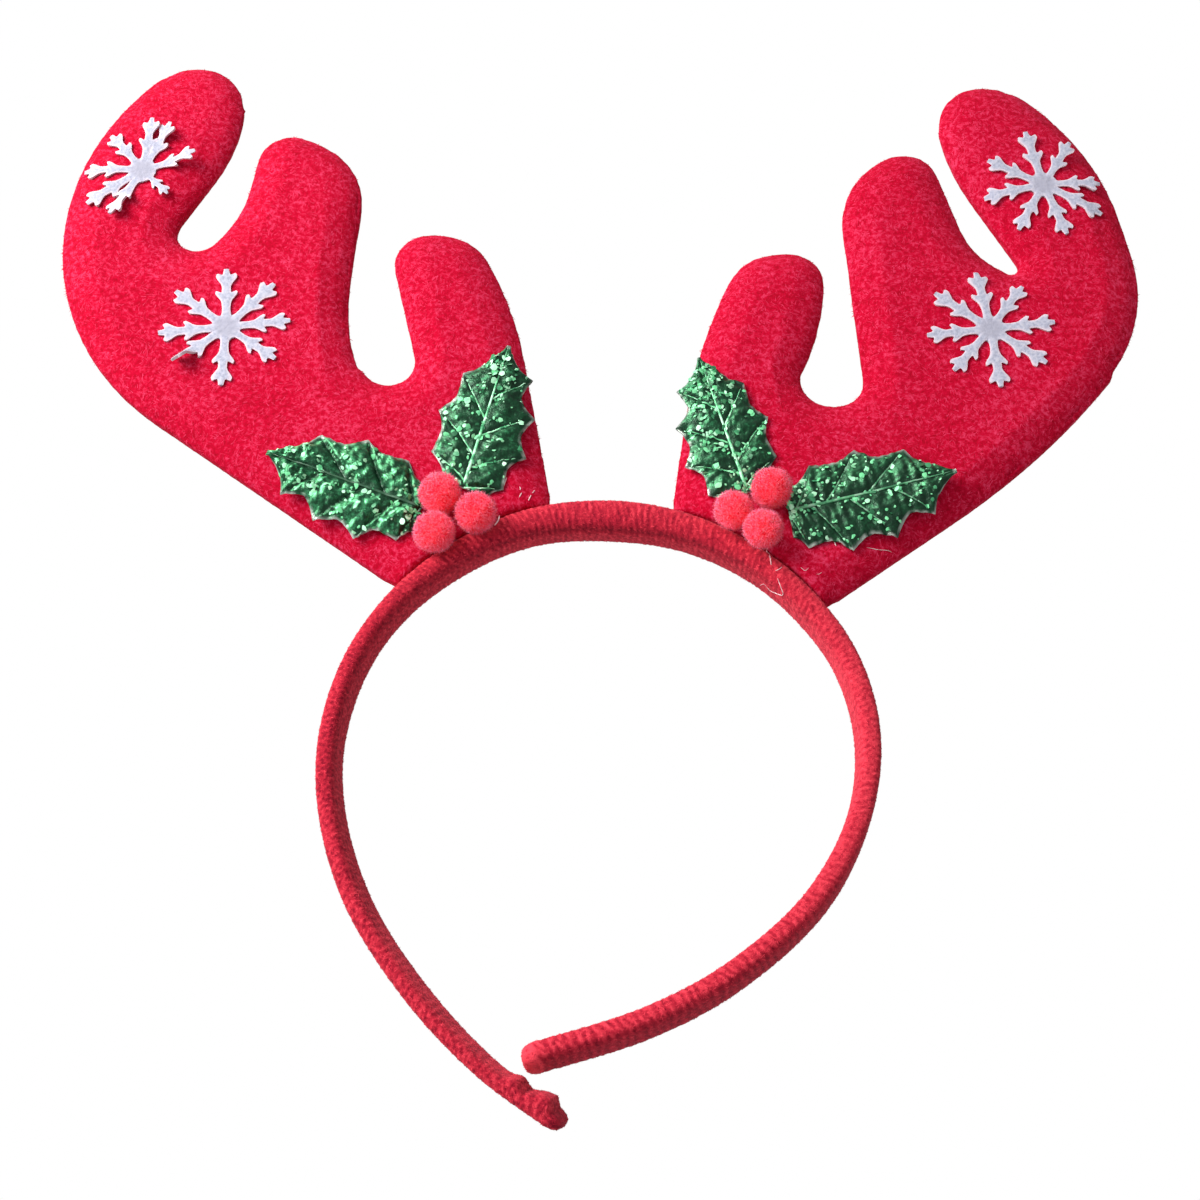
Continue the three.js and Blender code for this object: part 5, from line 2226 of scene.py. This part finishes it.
FLAKES = (
    FeltFlake("flake_left_high", -113.8, 117.4, 301, (
        FlakeArm(18.0, 13.8, 2.4, -15.0, 0.4), FlakeArm(65.0, 14.8, 1.0, -20.0, 0.52),
        FlakeArm(84.0, 15.0, 0.8, -15.0, 0.52),
        FlakeArm(128.0, 14.4), FlakeArm(177.0, 14.8), FlakeArm(217.0, 16.4, 0.4),
        FlakeArm(244.0, 15.6, 0.8, 26.0, 0.4), FlakeArm(313.0, 10.0, 0.8),
    )),
    FeltFlake("flake_left_low", -90.2, 71.3, 302, (
        FlakeArm(7.0, 15.5), FlakeArm(48.5, 16.5), FlakeArm(93.0, 16.6), FlakeArm(141.5, 16.4),
        FlakeArm(186.0, 16.4), FlakeArm(221.0, 16.2, 0.8, 58.0, 0.6), FlakeArm(269.0, 16.4),
        FlakeArm(324.0, 15.2),
    )),
    FeltFlake("flake_right_high", 110.0, 113.0, 303, (
        FlakeArm(4.0, 14.2, 0.8), FlakeArm(59.0, 14.0, 2.2), FlakeArm(103.0, 16.0, 0.5),
        FlakeArm(152.0, 15.2, 0.3), FlakeArm(193.0, 15.2, 0.5), FlakeArm(241.5, 14.6),
        FlakeArm(287.5, 15.4), FlakeArm(329.0, 16.2),
    )),
    FeltFlake("flake_right_low", 94.2, 70.8, 304, (
        FlakeArm(7.0, 15.7), FlakeArm(55.5, 15.0), FlakeArm(99.0, 16.4), FlakeArm(142.0, 16.4),
        FlakeArm(187.0, 15.5), FlakeArm(231.0, 15.1), FlakeArm(275.0, 16.4), FlakeArm(323.0, 16.0),
    )),
)
THREADS = (
    Strand((
        (36.9, 1.3), (37.7, 1.8), (39.2, -0.2), (40.5, -0.8), (41.9, -1.4), (42.1, -0.7), (41.5, 1.1),
        (40.9, 3.1),
    ), 0.13),
    Strand(((38.7, 11.0), (38.5, 9.9), (39.1, 9.6), (39.4, 8.1), (39.5, 6.6)), 0.14),
    Strand(((40.5, 5.1), (41.5, 5.6), (42.0, 6.1)), 0.1),
    Strand(((46.3, 6.0), (47.3, 5.0), (48.3, 6.0)), 0.07),
    Strand(((49.9, 4.2), (50.6, 4.2), (51.1, 4.7)), 0.07),
    Strand(((54.3, 12.6), (54.5, 12.1), (54.7, 11.6)), 0.16),
    Strand(((61.8, 11.2), (64.3, 10.6), (66.9, 10.4), (67.5, 9.9)), 0.08),
    Strand(((-21.9, 29.7), (-22.3, 28.5), (-22.6, 27.4)), 0.18),
    Strand(((-23.4, 19.6), (-23.6, 18.3), (-24.5, 17.0)), 0.2),
    Strand(((-15.3, 26.3), (-15.5, 26.0), (-15.8, 25.6)), 0.14),
    Strand(((-16.1, 25.0), (-16.4, 24.4), (-16.7, 23.6)), 0.14),
    Strand(((-18.8, 27.3), (-18.6, 26.9), (-18.7, 26.5)), 0.12),
    Strand(((-18.3, 25.7), (-18.6, 25.1), (-18.9, 24.5)), 0.12),
)


def main() -> None:
    """Builds the headband and its studio."""
    logging.basicConfig(level=logging.INFO, format="%(name)s %(message)s")
    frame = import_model()
    nodes = frame["nodes"]
    studio = Studio()
    studio.build()
    route = HoopRoute()
    band = PlushBand(route)
    plush = band.build()
    band.dress(plush)
    antlers = []
    for node, seed in ANTLERS:
        antler = FeltAntler(node, route, seed)
        stuffed = antler.build(nodes)
        antler.dress(stuffed)
        antlers.append(stuffed)
    floor = FeltFloor(antlers)
    for flake in FLAKES:
        flake.dress(flake.build(floor))
    for leaf in LEAVES:
        leaf.build(floor)
        leaf.dress(floor)
    for berry in BERRIES:
        berry.build()
    StrayThreads(THREADS, studio.eye()).build(FeltFloor([*antlers, plush]))


if __name__ == "__main__":
    main()
